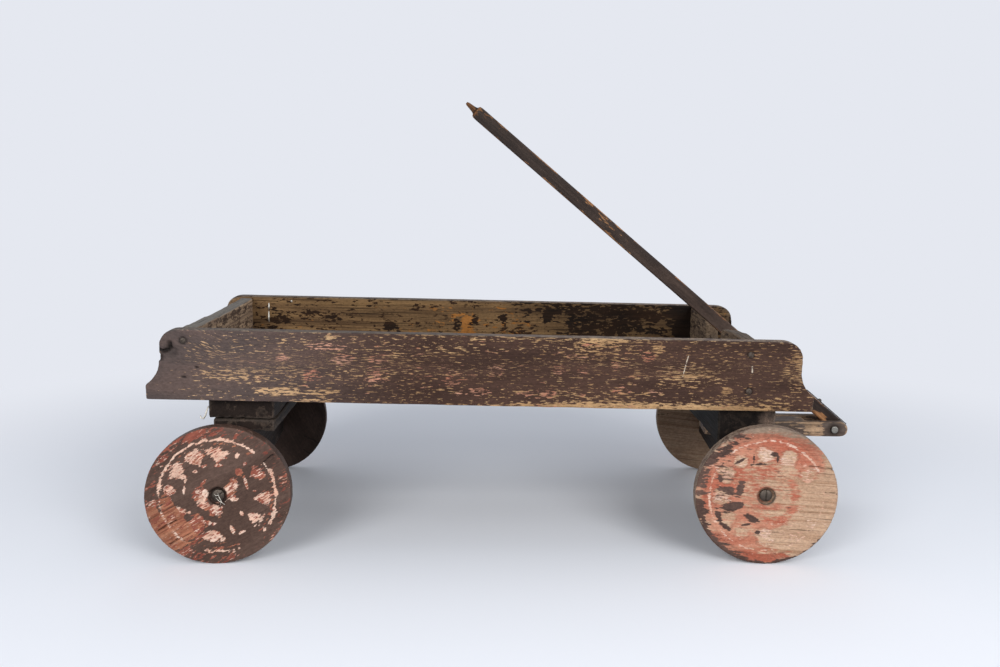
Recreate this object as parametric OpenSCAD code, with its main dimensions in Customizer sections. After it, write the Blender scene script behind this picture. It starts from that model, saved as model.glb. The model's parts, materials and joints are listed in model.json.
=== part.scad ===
// Child's wooden coaster wagon, old and weathered, with its tongue folded back over the box.
// +X is the front of the wagon, +Y its left-hand side, +Z up; the floor is at Z = 0.

/* [Box] */
// Length of the side boards along their bottom edge
box_length = 914; // [700:1:1000]
// Width over the outer faces of the side boards
box_width = 398; // [360:1:440]
// Height of the side and end boards
side_height = 98; // [80:1:140]
// Thickness of the side boards
side_t = 22; // [16:0.5:26]
// Thickness of the end boards
end_t = 20.5; // [14:0.5:24]
// Thickness of the floor boards
floor_t = 12; // [8:0.5:16]
// Number of floor boards side by side
floor_count = 5; // [3:2:9]
// Gap between neighbouring boards
board_gap = 0.8; // [0.4:0.1:2]
// Height of the box's underside above the floor, at mid-length
box_z = 213; // [200:1:230]
// How far the box stands lower at the front, in degrees
box_slope = 0.95; // [0:0.05:2]
// Distance from the rear end of the sides to the outer face of the rear end board
rear_inset = 45.5; // [30:0.5:80]
// Distance from the front end of the sides to the outer face of the front end board
front_inset = 79; // [60:0.5:100]
// How much shorter the left side board is at its front end
left_cut = 7.5; // [0:0.5:12]
// How far the rear board's top edge is worn down
rear_wear = 3; // [0:0.5:5]

/* [Side board ends] */
// Height of the square lip at the foot of each end
lip_height = 21; // [15:1:30]
// How far the shoulder above the lip stands back from the end
shoulder_inset = 18.5; // [12:0.5:26]
// Radius of the hollow between the lip and the shoulder
cove_r = 41; // [36:1:60]
// Radius of the rounded top corner
corner_r = 25; // [15:1:35]

/* [Front board scoop] */
// Width of the scoop that the folded tongue lies in
scoop_width = 94; // [80:1:98]
// Depth of the scoop below the board's top edge
scoop_depth = 40; // [36:1:60]
// Width of the shallow worn hollow around the scoop
scoop_hollow_width = 250; // [150:1:300]
// Depth of the worn hollow at the edges of the scoop
scoop_wear = 6; // [0:0.5:8]
// Radius of the scoop's two bottom corners
scoop_r = 16; // [8:1:24]
// Radius of the rounded shoulders beside the scoop
scoop_shoulder_r = 12; // [6:1:14]

/* [Rear running gear] */
// Position of the rear axle, measured from the box's mid-length
rear_axle_x = -364; // [-380:1:-350]
// How far the worn rear axle has twisted out of square, in degrees
rear_skew = 2.1; // [-3:0.1:3]
// Size of the upper rear bolster along the wagon
rear_bolster_x = 90; // [80:1:100]
// Thickness of the upper rear bolster
rear_bolster_z = 29.5; // [18:0.5:34]
// Thickness of the spacer board below the rear bolster
spacer_z = 17.5; // [12:0.5:24]
// How far the rear bolster's centre is ahead of the rear axle
rear_bolster_lead = 31; // [0:1:32]
// Length of the bolsters across the wagon
bolster_y = 354; // [340:1:390]

/* [Front running gear] */
// Position of the king bolt and front axle, measured from the box's mid-length
king_x = 400; // [390:1:410]
// How far the front gear stands turned at rest, in degrees
steer_rest = -3; // [-5:0.1:5]
// Size of the front bolster along the wagon
front_bolster_x = 81; // [70:1:100]
// How far the front bolster's centre is behind the king bolt
front_bolster_lag = 28.5; // [0:0.5:28.5]
// Radius of the wear plates
plate_r = 29; // [20:1:30]
// Thickness of each wear plate
plate_t = 2; // [1.5:0.5:3]
// Gap between the two wear plates
swivel_gap = 0.3; // [0.2:0.1:0.6]
// Radius of the king bolt
king_r = 5; // [4:0.5:6]

/* [Axle beams] */
// Thickness of the axle beams along the wagon
beam_x = 46; // [36:1:60]
// Length of the axle beams
beam_y = 421; // [415:0.5:422]
// Height of the axle beams' underside above the floor
beam_z = 73; // [60:1:80]

/* [Hounds] */
// Height of the hounds' underside above the floor
hound_z = 129; // [124:1:134]
// Height of each hound
hound_h = 23; // [18:1:24]
// Thickness of each hound
hound_t = 14.5; // [10:0.5:18]
// Distance from the king bolt to the hounds' front tips
hound_reach = 168; // [160:1:180]
// Distance from the king bolt to the hounds' rear ends
hound_tail = 52; // [30:1:60]
// Distance from the king bolt to the front of the filler block between the hounds
filler_reach = 107; // [90:1:115]

/* [Tongue] */
// Distance from the king bolt to the tongue bolt
tongue_bolt_x = 146.5; // [140:0.5:150]
// Angle of the folded tongue above the horizontal
tongue_angle = 40.1; // [38:0.1:44]
// Distance from the tongue bolt to the shoulders at the upper end
tongue_length = 736; // [600:1:800]
// Width of the tongue across the wagon
tongue_w = 28; // [24:1:29]
// Thickness of the tongue
tongue_t = 21; // [18:0.5:24]
// Distance from the tongue bolt to the tongue's outer face
tongue_face = 18; // [16:0.5:20]
// How far the tongue's foot reaches past the bolt
tongue_foot = 17; // [12:1:20]
// Length of the broken tenon that held the grip
stub_length = 19; // [10:1:30]
// Radius of the tongue bolt
tongue_bolt_r = 3.2; // [2.5:0.1:4]
// Length of the iron strap on the tongue
strap_length = 80; // [50:1:90]
// Width of the iron strap
strap_w = 16; // [12:1:20]
// Thickness of the iron strap
strap_t = 1.5; // [1:0.5:2]

/* [Wheels] */
// Radius of the front wheels
front_r = 96.6; // [90:0.1:110]
// Radius of the rear wheels
rear_r = 95.6; // [90:0.1:110]
// Thickness of the wheels
wheel_t = 20.3; // [16:0.1:24]
// Distance from the wagon's middle to the wheels' outer faces
wheel_out = 233.3; // [232:0.1:240]
// Radius of the recess for the screw head
recess_r = 12; // [10:0.5:16]
// Depth of the recess
recess_depth = 6; // [3:0.5:8]
// Radius of the axle screws
screw_r = 5; // [4:0.5:6]
// Radius of the axle screws' heads
screw_head_r = 9.5; // [8:0.5:11]
// Radial clearance between a turning hole and its shaft
running_fit = 0.06; // [0.02:0.01:0.1]

/* [Hidden] */

right = -1;
left = 1;
big = 2000;
cylinder_fn = 96;

// The inside of the box, along its own floor
inner_width = box_width - 2 * side_t;
rear_outer = -box_length / 2 + rear_inset;
rear_inner = rear_outer + end_t;
front_outer = box_length / 2 - front_inset;
front_inner = front_outer - end_t;
floor_width = (inner_width - (floor_count + 1) * board_gap) / floor_count;

// Height from the lip to the shoulder: the hollow's circle passes the lip's outer corner
cove_rise = sqrt(cove_r * cove_r - (cove_r - shoulder_inset) * (cove_r - shoulder_inset));

// The wheels and what holds them
wheel_in = wheel_out - wheel_t;
washer_t = 2;
washer_r = 16;
play = 0.3;
head_t = 4;
screw_grip = 45;
loose_fit = 0.3;

// The front gear turns between the two wear plates, the lower of which lies on the hounds
swivel_z = hound_z + hound_h + plate_t + swivel_gap / 2;

// The king bolt's head, nut and washer
king_head_r = 9;
king_head_t = 6;
king_seat_z = 204;
king_nut_t = 7;
king_bolt_end = beam_z - play - king_nut_t - 4;

// The tongue bolt is on the hounds' centre line
tongue_bolt_z = hound_z + hound_h / 2;
hound_inner = tongue_w / 2 + 1.5;
bolt_head_t = 3;
bolt_head_r = 5.5;
foot_r = 14;

// The box around the whole object at rest, so that it is centred over the origin
x_min = rear_axle_x - wheel_out * sin(rear_skew) - rear_r * cos(rear_skew);
strap_reach = tongue_bolt_x + tongue_foot * cos(tongue_angle) + (tongue_face + strap_t) * sin(tongue_angle);
x_max = king_x + strap_reach * cos(steer_rest) + strap_w / 2 * sin(abs(steer_rest));
origin_x = (x_min + x_max) / 2;

// ---- Placing: each group has its own straight frame ----

module on_box()
    translate([-origin_x, 0, box_z]) rotate([0, box_slope, 0]) children();

module on_rear_axle()
    translate([rear_axle_x - origin_x, 0, 0]) rotate([0, 0, rear_skew]) children();

module on_front_gear()
    translate([king_x - origin_x, 0, 0]) rotate([0, 0, steer_rest]) children();

// Local +X runs up the tongue from its bolt, local +Z is the face that looks up and forward
module on_tongue()
    on_front_gear() translate([tongue_bolt_x, 0, tongue_bolt_z])
        rotate([0, tongue_angle, 0]) rotate([0, 0, 180]) children();

// ---- Simple shapes ----

module block(x0, x1, y0, y1, z0, z1)
    translate([x0, y0, z0]) cube([x1 - x0, y1 - y0, z1 - z0]);

module rod_y(r, y0, y1, fn = cylinder_fn)
    translate([0, y0, 0]) rotate([-90, 0, 0]) cylinder(r = r, h = y1 - y0, $fn = fn);

// ---- Box ----

// One end of a side board, from its mid-length to the end at length along +X
module side_end_outline(length) {
    shoulder = length - shoulder_inset;
    difference() {
        union() {
            square([shoulder, side_height - corner_r]);
            square([shoulder - corner_r, side_height]);
            translate([shoulder - corner_r, side_height - corner_r])
                circle(r = corner_r, $fn = cylinder_fn);
            square([length, lip_height + cove_rise]);
        }
        translate([shoulder + cove_r, lip_height + cove_rise])
            circle(r = cove_r, $fn = cylinder_fn);
    }
}

module side_outline(front_cut) {
    side_end_outline(box_length / 2 - front_cut);
    mirror([1, 0]) side_end_outline(box_length / 2);
}

module side_board(side)
    on_box() translate([0, side * (box_width - side_t) / 2 + side_t / 2, 0])
        rotate([90, 0, 0]) linear_extrude(side_t) children();

module right_side_board() color([0.35, 0.29, 0.27]) side_board(right) side_outline(0);

module left_side_board() color([0.35, 0.29, 0.27]) side_board(left) side_outline(left_cut);

// Half of the scoop, on the +X side of its middle
module half_scoop_outline() {
    half = scoop_width / 2;
    bottom = side_height - scoop_depth;
    shoulder_top = side_height - scoop_wear;
    difference() {
        translate([0, bottom]) square([half + scoop_shoulder_r, scoop_depth + 1]);
        translate([half, 0]) square([scoop_shoulder_r + 1, shoulder_top - scoop_shoulder_r]);
        translate([half + scoop_shoulder_r, shoulder_top - scoop_shoulder_r])
            circle(r = scoop_shoulder_r, $fn = cylinder_fn);
        difference() {
            translate([half - scoop_r, bottom]) square(scoop_r);
            translate([half - scoop_r, bottom + scoop_r]) circle(r = scoop_r, $fn = cylinder_fn);
        }
    }
    polygon([[half, shoulder_top], [scoop_hollow_width / 2, side_height],
             [scoop_hollow_width / 2, side_height + 1], [half, side_height + 1]]);
}

module scoop_outline() {
    half_scoop_outline();
    mirror([1, 0]) half_scoop_outline();
}

// The rear board is worn lower from its middle to its left end
module rear_wear_outline()
    polygon([[-inner_width / 2, side_height], [0, side_height - rear_wear],
             [inner_width, side_height - rear_wear], [inner_width, side_height + 1],
             [-inner_width / 2, side_height + 1]]);

module end_board(x0)
    on_box() translate([x0, 0, 0]) rotate([90, 0, 90]) linear_extrude(end_t) difference() {
        translate([-inner_width / 2 + board_gap / 2, 0])
            square([inner_width - board_gap, side_height]);
        children();
    }

module front_end_board() color([0.38, 0.33, 0.28]) end_board(front_inner) scoop_outline();

module rear_end_board() color([0.42, 0.38, 0.33]) end_board(rear_outer) rear_wear_outline();

module floor_board(index) {
    y0 = -inner_width / 2 + board_gap + (index - 1) * (floor_width + board_gap);
    on_box() block(rear_inner + board_gap, front_inner - board_gap, y0, y0 + floor_width, 0, floor_t);
}

module floor_board_1() color([0.42, 0.36, 0.28]) floor_board(1);

module floor_board_2() color([0.45, 0.38, 0.29]) floor_board(2);

module floor_board_3() color([0.41, 0.35, 0.27]) floor_board(3);

module floor_board_4() color([0.44, 0.37, 0.28]) floor_board(4);

module floor_board_5() color([0.40, 0.34, 0.26]) floor_board(5);

// ---- Rear running gear ----

rear_bolster_mid = rear_axle_x + rear_bolster_lead;
spacer_setback = 6;
spacer_proud = 1.5;

module rear_bolster() color([0.30, 0.27, 0.24])
    on_box() block(rear_bolster_mid - rear_bolster_x / 2, rear_bolster_mid + rear_bolster_x / 2,
                   -bolster_y / 2, bolster_y / 2, -rear_bolster_z, 0);

module rear_spacer_board() color([0.27, 0.24, 0.21])
    on_box() block(rear_bolster_mid - rear_bolster_x / 2 + spacer_setback,
                   rear_bolster_mid + rear_bolster_x / 2 + spacer_proud,
                   -bolster_y / 2, bolster_y / 2, -rear_bolster_z - spacer_z, -rear_bolster_z);

module axle_holes(axle_z)
    for (side = [right, left])
        translate([0, 0, axle_z])
            rod_y(screw_r + running_fit, side * beam_y / 2 - screw_grip, side * beam_y / 2 + screw_grip);

module rear_axle_beam() color([0.26, 0.23, 0.20]) difference() {
    on_rear_axle() block(-beam_x / 2, beam_x / 2, -beam_y / 2, beam_y / 2, beam_z, box_z);
    on_box() block(-big, 0, -big, big, -rear_bolster_z - spacer_z, big);
    on_rear_axle() axle_holes(rear_r);
}

// A round-headed screw and its washer, along the axle; side is left or right
module axle_screw(side, axle_z) {
    seat = wheel_out - recess_depth + play;
    translate([0, 0, axle_z]) mirror([0, side < 0 ? 1 : 0, 0]) {
        difference() {
            union() {
                rod_y(screw_r, beam_y / 2 - screw_grip + 1, seat + 1);
                rod_y(screw_head_r, seat, seat + head_t);
            }
            translate([-screw_head_r, seat + head_t - 1.4, -0.9])
                cube([2 * screw_head_r, 2, 1.8]);
        }
    }
}

module axle_washer(side, axle_z)
    translate([0, 0, axle_z]) mirror([0, side < 0 ? 1 : 0, 0]) difference() {
        rod_y(washer_r, beam_y / 2, beam_y / 2 + washer_t);
        rod_y(screw_r + loose_fit, beam_y / 2 - 1, beam_y / 2 + washer_t + 1);
    }

module rear_axle_screw_right() color([0.22, 0.20, 0.18]) on_rear_axle() axle_screw(right, rear_r);

module rear_axle_screw_left() color([0.22, 0.20, 0.18]) on_rear_axle() axle_screw(left, rear_r);

module rear_washer_right() color([0.36, 0.27, 0.20]) on_rear_axle() axle_washer(right, rear_r);

module rear_washer_left() color([0.36, 0.27, 0.20]) on_rear_axle() axle_washer(left, rear_r);

// ---- Turntable: bolster, wear plates and king bolt ----

front_bolster_mid = king_x - front_bolster_lag;

module king_hole(r)
    on_front_gear() cylinder(r = r, h = box_z, $fn = cylinder_fn);

module front_bolster() color([0.28, 0.25, 0.22]) difference() {
    translate([-origin_x, 0, 0])
        block(front_bolster_mid - front_bolster_x / 2, front_bolster_mid + front_bolster_x / 2,
              -bolster_y / 2, bolster_y / 2, swivel_z + swivel_gap / 2 + plate_t, box_z);
    on_box() block(0, big, -big, big, 0, big);
    king_hole(king_r + loose_fit);
    translate([0, 0, king_seat_z]) king_hole(king_head_r + 1);
}

module wear_plate(z, hole_r) color([0.33, 0.24, 0.18]) on_front_gear() difference() {
    translate([0, 0, z]) cylinder(r = plate_r, h = plate_t, $fn = cylinder_fn);
    translate([0, 0, z - 1]) cylinder(r = hole_r, h = plate_t + 2, $fn = cylinder_fn);
}

module upper_wear_plate() wear_plate(swivel_z + swivel_gap / 2, king_r + loose_fit);

module lower_wear_plate() wear_plate(swivel_z - swivel_gap / 2 - plate_t, king_r + running_fit);

module king_bolt() color([0.24, 0.19, 0.16]) on_front_gear() {
    translate([0, 0, king_bolt_end]) cylinder(r = king_r, h = king_seat_z - king_bolt_end + 1,
                                              $fn = cylinder_fn);
    translate([0, 0, king_seat_z]) cylinder(r = king_head_r, h = king_head_t, $fn = cylinder_fn);
}

module king_nut() color([0.30, 0.22, 0.17]) on_front_gear() difference() {
    translate([0, 0, beam_z - play - king_nut_t]) {
        cylinder(r = king_head_r, h = king_nut_t - 1.5, $fn = 6);
        translate([0, 0, king_nut_t - 1.5]) cylinder(r = 13, h = 1.5, $fn = cylinder_fn);
    }
    cylinder(r = king_r, h = box_z, $fn = cylinder_fn);
}

// ---- Front gear that turns on the king bolt ----

module front_axle_beam() color([0.27, 0.23, 0.20]) difference() {
    on_front_gear() block(-beam_x / 2, beam_x / 2, -beam_y / 2, beam_y / 2, beam_z, hound_z);
    on_front_gear() axle_holes(front_r);
    king_hole(king_r + running_fit);
}

module hound(side) on_front_gear() difference() {
    tip_r = hound_h / 2;
    y0 = side > 0 ? hound_inner : -hound_inner - hound_t;
    union() {
        block(-hound_tail, hound_reach - tip_r, y0, y0 + hound_t, hound_z, hound_z + hound_h);
        translate([hound_reach - tip_r, 0, hound_z + tip_r]) rod_y(tip_r, y0, y0 + hound_t);
    }
    translate([tongue_bolt_x, 0, tongue_bolt_z])
        rod_y(tongue_bolt_r + running_fit, y0 - 1, y0 + hound_t + 1);
}

module hound_right() color([0.45, 0.36, 0.27]) hound(right);

module hound_left() color([0.40, 0.33, 0.26]) hound(left);

module hound_filler_block() color([0.43, 0.38, 0.32]) difference() {
    on_front_gear() block(-hound_tail, filler_reach, -hound_inner, hound_inner,
                          hound_z, hound_z + hound_h - 1);
    king_hole(king_r + running_fit);
}

module front_axle_screw_right() color([0.22, 0.20, 0.18]) on_front_gear() axle_screw(right, front_r);

module front_axle_screw_left() color([0.22, 0.20, 0.18]) on_front_gear() axle_screw(left, front_r);

module front_washer_right() color([0.36, 0.27, 0.20]) on_front_gear() axle_washer(right, front_r);

module front_washer_left() color([0.36, 0.27, 0.20]) on_front_gear() axle_washer(left, front_r);

module tongue_bolt() color([0.50, 0.50, 0.47]) on_front_gear()
    translate([tongue_bolt_x, 0, tongue_bolt_z]) {
        reach = hound_inner + hound_t;
        rod_y(tongue_bolt_r, -reach - 1, reach + 1);
        for (side = [right, left])
            translate([0, side * (reach + bolt_head_t / 2), 0])
                rod_y(bolt_head_r, -bolt_head_t / 2, bolt_head_t / 2);
    }

// ---- Tongue ----

module tongue_bar() color([0.30, 0.23, 0.18]) on_tongue() difference() {
    union() {
        block(-tongue_foot, tongue_length, -tongue_w / 2, tongue_w / 2,
              tongue_face - tongue_t, tongue_face);
        rod_y(foot_r, -tongue_w / 2, tongue_w / 2);
        rotate([90, 0, 0]) translate([0, 0, -tongue_w / 4]) linear_extrude(tongue_w / 2)
            polygon([[tongue_length - 1, tongue_face - tongue_t + 5],
                     [tongue_length + stub_length, tongue_face - tongue_t + 8],
                     [tongue_length + stub_length, tongue_face - 7],
                     [tongue_length - 1, tongue_face - 5]]);
    }
    rod_y(tongue_bolt_r + running_fit, -tongue_w, tongue_w);
}

module tongue_strap() color([0.24, 0.20, 0.17])
    on_tongue() block(-tongue_foot, strap_length - tongue_foot, -strap_w / 2, strap_w / 2,
                      tongue_face, tongue_face + strap_t);

// ---- Wheels ----

module wheel(side, r) translate([0, 0, r]) mirror([0, side < 0 ? 1 : 0, 0]) difference() {
    rod_y(r, wheel_in, wheel_out, 180);
    rod_y(screw_r + running_fit, wheel_in - 1, wheel_out + 1);
    rod_y(recess_r, wheel_out - recess_depth, wheel_out + 1);
}

module wheel_front_right() color([0.55, 0.42, 0.33]) on_front_gear() wheel(right, front_r);

module wheel_front_left() color([0.52, 0.42, 0.33]) on_front_gear() wheel(left, front_r);

module wheel_rear_right() color([0.42, 0.33, 0.29]) on_rear_axle() wheel(right, rear_r);

module wheel_rear_left() color([0.35, 0.28, 0.24]) on_rear_axle() wheel(left, rear_r);

// ---- Every node ----

right_side_board();
left_side_board();
front_end_board();
rear_end_board();
floor_board_1();
floor_board_2();
floor_board_3();
floor_board_4();
floor_board_5();
rear_bolster();
rear_spacer_board();
rear_axle_beam();
rear_axle_screw_right();
rear_axle_screw_left();
rear_washer_right();
rear_washer_left();
front_bolster();
upper_wear_plate();
king_bolt();
king_nut();
lower_wear_plate();
front_axle_beam();
hound_right();
hound_left();
hound_filler_block();
front_axle_screw_right();
front_axle_screw_left();
front_washer_right();
front_washer_left();
tongue_bolt();
tongue_bar();
tongue_strap();
wheel_front_right();
wheel_front_left();
wheel_rear_right();
wheel_rear_left();
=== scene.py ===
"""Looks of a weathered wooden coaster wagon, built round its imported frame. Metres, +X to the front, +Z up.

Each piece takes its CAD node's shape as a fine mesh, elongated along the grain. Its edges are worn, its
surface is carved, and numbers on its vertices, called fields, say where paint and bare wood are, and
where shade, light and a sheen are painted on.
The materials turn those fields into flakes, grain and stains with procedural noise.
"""

import json
import math
from collections import namedtuple

import bmesh
import bpy
import numpy as np
from mathutils import Matrix, Vector


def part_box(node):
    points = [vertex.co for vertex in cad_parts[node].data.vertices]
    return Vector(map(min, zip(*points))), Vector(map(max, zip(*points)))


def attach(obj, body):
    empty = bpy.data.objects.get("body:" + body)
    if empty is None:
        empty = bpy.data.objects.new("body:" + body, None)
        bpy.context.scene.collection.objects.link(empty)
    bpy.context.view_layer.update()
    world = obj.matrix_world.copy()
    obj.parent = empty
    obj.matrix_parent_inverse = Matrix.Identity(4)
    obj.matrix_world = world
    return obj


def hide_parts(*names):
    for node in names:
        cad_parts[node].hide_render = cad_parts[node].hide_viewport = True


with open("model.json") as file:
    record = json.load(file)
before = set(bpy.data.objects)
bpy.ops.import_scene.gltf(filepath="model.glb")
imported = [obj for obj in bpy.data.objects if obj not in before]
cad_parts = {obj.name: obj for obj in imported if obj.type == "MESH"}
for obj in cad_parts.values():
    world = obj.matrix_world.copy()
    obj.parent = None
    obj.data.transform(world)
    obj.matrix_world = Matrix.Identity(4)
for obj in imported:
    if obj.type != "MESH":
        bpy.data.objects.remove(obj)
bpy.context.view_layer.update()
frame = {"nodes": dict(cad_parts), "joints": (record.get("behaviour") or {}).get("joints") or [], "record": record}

NODES = frame["nodes"]
BODIES = frame["record"]["behaviour"]["bodies"]
BODY_OF = {node: body for body, members in BODIES.items() for node in members}
JOINTS = {joint["child"]: joint for joint in frame["joints"]}


# ---------------------------------------------------------------- camera, floor and light

CAMERA_AT = Vector((-0.0548, -1.5720, 0.5315))
CAMERA_YAW, CAMERA_DOWN, CAMERA_ROLL = (math.radians(a) for a in (1.115, 9.003, 0.45))
CAMERA_LENS, SENSOR = 36.99, 36.0


def srgb(red, green, blue):
    """A colour written as 0 to 255 display values, as the linear values a shader takes."""
    shares = [c / 255 for c in (red, green, blue)]
    return tuple(((c + 0.055) / 1.055) ** 2.4 if c > 0.04 else c / 12.92 for c in shares) + (1.0,)


BACKDROP = srgb(229, 232, 240)
PAPER = srgb(236, 238, 243)
SKY_LIGHT, SKY_STRENGTH = (0.90, 0.96, 1.07, 1.0), 0.39
LAMP_AIM = Vector((0.0, 0.0, 0.1))


def new_object(name, data):
    """A new object in the scene that shows data."""
    made = bpy.data.objects.new(name, data)
    bpy.context.scene.collection.objects.link(made)
    return made


def make_camera():
    """The camera that sees the wagon from its right side, a little from above."""
    data = bpy.data.cameras.new("camera")
    data.lens, data.sensor_width = CAMERA_LENS, SENSOR
    data.clip_start, data.clip_end = 0.02, 100
    camera = new_object("camera", data)
    level = math.cos(CAMERA_DOWN)
    ahead = Vector((math.sin(CAMERA_YAW) * level, math.cos(CAMERA_YAW) * level, -math.sin(CAMERA_DOWN)))
    right = Vector((math.cos(CAMERA_YAW), -math.sin(CAMERA_YAW), 0))
    up = right.cross(ahead)
    turn = Matrix.Rotation(-CAMERA_ROLL, 3, ahead)
    axes = Matrix((turn @ right, turn @ up, -ahead)).transposed()
    camera.matrix_world = Matrix.Translation(CAMERA_AT) @ axes.to_4x4()
    bpy.context.scene.camera = camera


class Shader:
    """A material whose nodes are wired as they are made."""

    def __init__(self, name, owner=None):
        self.material = owner or bpy.data.materials.new(name)
        self.material.use_nodes = True
        self.tree = self.material.node_tree
        self.tree.nodes.clear()

    def add(self, kind, inputs=(), **settings):
        node = self.tree.nodes.new("ShaderNode" + kind)
        for key, value in settings.items():
            setattr(node, key, value)
        for key, value in dict(inputs).items():
            if isinstance(value, bpy.types.NodeSocket):
                self.tree.links.new(value, node.inputs[key])
            else:
                node.inputs[key].default_value = value
        return node

    def math(self, operation, a, b=0.0, c=0.0):
        return self.add("Math", {0: a, 1: b, 2: c}, operation=operation).outputs[0]

    def plus(self, a, b):
        return self.math("ADD", a, b)

    def minus(self, a, b):
        return self.math("SUBTRACT", a, b)

    def times(self, a, b):
        return self.math("MULTIPLY", a, b)

    def mix(self, factor, a, b):
        """Colour a where factor is 0 and colour b where it is 1."""
        return self.add("Mix", {0: factor, 6: a, 7: b}, data_type="RGBA").outputs[2]

    def step(self, value, low, high):
        """0 below low, 1 above high, and a smooth rise between. It falls instead where low is above high."""
        if low > high:
            return self.minus(1.0, self.step(value, high, low))
        return self.add("MapRange", {"Value": value, "From Min": low, "From Max": high},
                        interpolation_type="SMOOTHSTEP").outputs[0]

    def between(self, value, low, high, to_low, to_high):
        return self.add("MapRange", {"Value": value, "From Min": low, "From Max": high, "To Min": to_low,
                                     "To Max": to_high}).outputs[0]

    def field(self, name):
        return self.add("Attribute", attribute_name=name).outputs["Fac"]

    def place(self):
        """The vertex's place in its grain frame, in metres."""
        return self.add("Attribute", attribute_name="grain").outputs["Vector"]

    def scratch(self, place, start, end, width):
        """1 on a thin line between two places (along, across) of the grain frame, in metres."""
        line = Vector(end) - Vector(start)
        turn = math.atan2(line.y, line.x)
        moved = self.add("VectorMath", {0: place, 1: (*start, 0.0)}, operation="SUBTRACT").outputs[0]
        level = self.add("VectorRotate", {"Vector": moved, "Angle": -turn}, rotation_type="Z_AXIS").outputs[0]
        parts = self.add("SeparateXYZ", {0: level}).outputs
        beside = self.step(self.math("ABSOLUTE", parts[1]), width * 0.8, width * 0.4)
        past_ends = self.math("ABSOLUTE", self.minus(parts[0], line.length / 2))
        return self.times(beside, self.step(past_ends, line.length / 2 + width, line.length / 2))

    def noise(self, place, scale, detail=3.0, rough=0.55, twist=0.0):
        """Noise with scale waves a metre along the grain, across it and through it."""
        scaled = self.add("VectorMath", {0: place, 1: scale}, operation="MULTIPLY").outputs[0]
        return self.add("TexNoise", {"Vector": scaled, "Scale": 1.0, "Detail": detail, "Roughness": rough,
                                     "Distortion": twist}).outputs["Fac"]

    def ramp(self, value, stops):
        node = self.add("ValToRGB", {0: value})
        elements = node.color_ramp.elements
        while len(elements) < len(stops):
            elements.new(0.5)
        for element, (position, colour) in zip(elements, stops):
            element.position, element.color = position, colour
        return node.outputs[0]

    def surface(self, colour, roughness, height, **uniform):
        """Ends the material. height is in millimetres; uniform values go on the sockets of their names."""
        bump = self.add("Bump", {"Height": height, "Distance": 0.001, "Strength": 1.0}).outputs[0]
        inputs = {"Base Color": colour, "Roughness": roughness, "Normal": bump}
        inputs.update({name.replace("_", " "): value for name, value in uniform.items()})
        shader = self.add("BsdfPrincipled", inputs).outputs[0]
        self.add("OutputMaterial", {"Surface": shader})
        return self.material

    def seen(self):
        """1 where the camera sees the surface, straight or reflected, and 0 where it only gives light."""
        rays = self.add("LightPath").outputs
        mirrored = self.math("MAXIMUM", rays["Is Glossy Ray"], rays["Is Transmission Ray"])
        return self.math("MAXIMUM", rays["Is Camera Ray"], mirrored)


def make_world():
    """A backdrop that is seen in its own colour, and gives a weaker and bluer light."""
    world = bpy.data.worlds.new("studio")
    bpy.context.scene.world = world
    s = Shader("studio", world)
    seen = s.seen()
    backdrop = s.add("Background", {"Color": BACKDROP, "Strength": 1.0}).outputs[0]
    light = s.add("Background", {"Color": SKY_LIGHT, "Strength": SKY_STRENGTH}).outputs[0]
    s.add("OutputWorld", {"Surface": s.add("MixShader", {0: seen, 1: light, 2: backdrop}).outputs[0]})


def make_lamp(name, at, size, power):
    """A round soft lamp of that size in metres and power in watts, turned to LAMP_AIM."""
    data = bpy.data.lights.new(name, "AREA")
    data.shape, data.size, data.energy = "DISK", size, power
    lamp = new_object(name, data)
    lamp.location = at
    lamp.rotation_euler = (LAMP_AIM - Vector(at)).to_track_quat("-Z", "Y").to_euler()


def make_floor():
    """A pale floor that turns into the backdrop's colour well away from the wagon."""
    floor_radius, fade_start, fade_end = 14.0, 0.6, 1.5
    mesh = bpy.data.meshes.new("studio_floor")
    shape = bmesh.new()
    bmesh.ops.create_circle(shape, cap_ends=True, segments=96, radius=floor_radius)
    shape.to_mesh(mesh)
    shape.free()
    floor = new_object("studio_floor", mesh)
    s = Shader("studio_floor")
    at = s.add("TexCoord").outputs["Object"]
    distance = s.add("VectorMath", {0: at}, operation="LENGTH").outputs["Value"]
    away = s.step(distance, fade_start, fade_end)
    seen = s.seen()
    paper = s.add("BsdfDiffuse", {"Color": PAPER}).outputs[0]
    glow = s.add("Emission", {"Color": BACKDROP, "Strength": 1.0}).outputs[0]
    mixed = s.add("MixShader", {0: s.times(away, seen), 1: paper, 2: glow}).outputs[0]
    s.add("OutputMaterial", {"Surface": mixed})
    mesh.materials.append(s.material)


# ---------------------------------------------------------------- noise and fields on vertices

def lattice(cell, seed):
    """A repeatable number from 0 to 1 for each whole-number cell."""
    mixed = cell[:, 0] * 374761393 + cell[:, 1] * 668265263 + cell[:, 2] * 1442695041 + seed * 144665
    mixed = (mixed ^ (mixed >> 13)) * 1274126177 & 0xFFFFFFFF
    return ((mixed ^ (mixed >> 16)) & 0xFFFF) / 65535.0


def waves(at, length, seed=0, octaves=3):
    """Smooth noise from -1 to 1 at points; length is one wave along each axis, in metres."""
    total, reach, size = np.zeros(len(at)), 0.0, np.array(length, float)
    for octave in range(octaves):
        scaled = at / size + 31.7 * (seed + octave)
        cell = np.floor(scaled).astype(np.int64)
        part = scaled - cell
        part = part * part * (3 - 2 * part)
        value = np.zeros(len(at))
        for corner in range(8):
            bits = np.array([corner & 1, corner >> 1 & 1, corner >> 2 & 1])
            weight = np.prod(np.where(bits, part, 1 - part), axis=1)
            value += weight * lattice(cell + bits, seed + octave)
        total += (value * 2 - 1) * 0.5**octave
        reach += 0.5**octave
        size = size / 2
    return total / reach


def rise(value, low, high):
    """0 below low, 1 above high, smooth between."""
    t = np.clip((value - low) / (high - low), 0, 1)
    return t * t * (3 - 2 * t)


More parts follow.
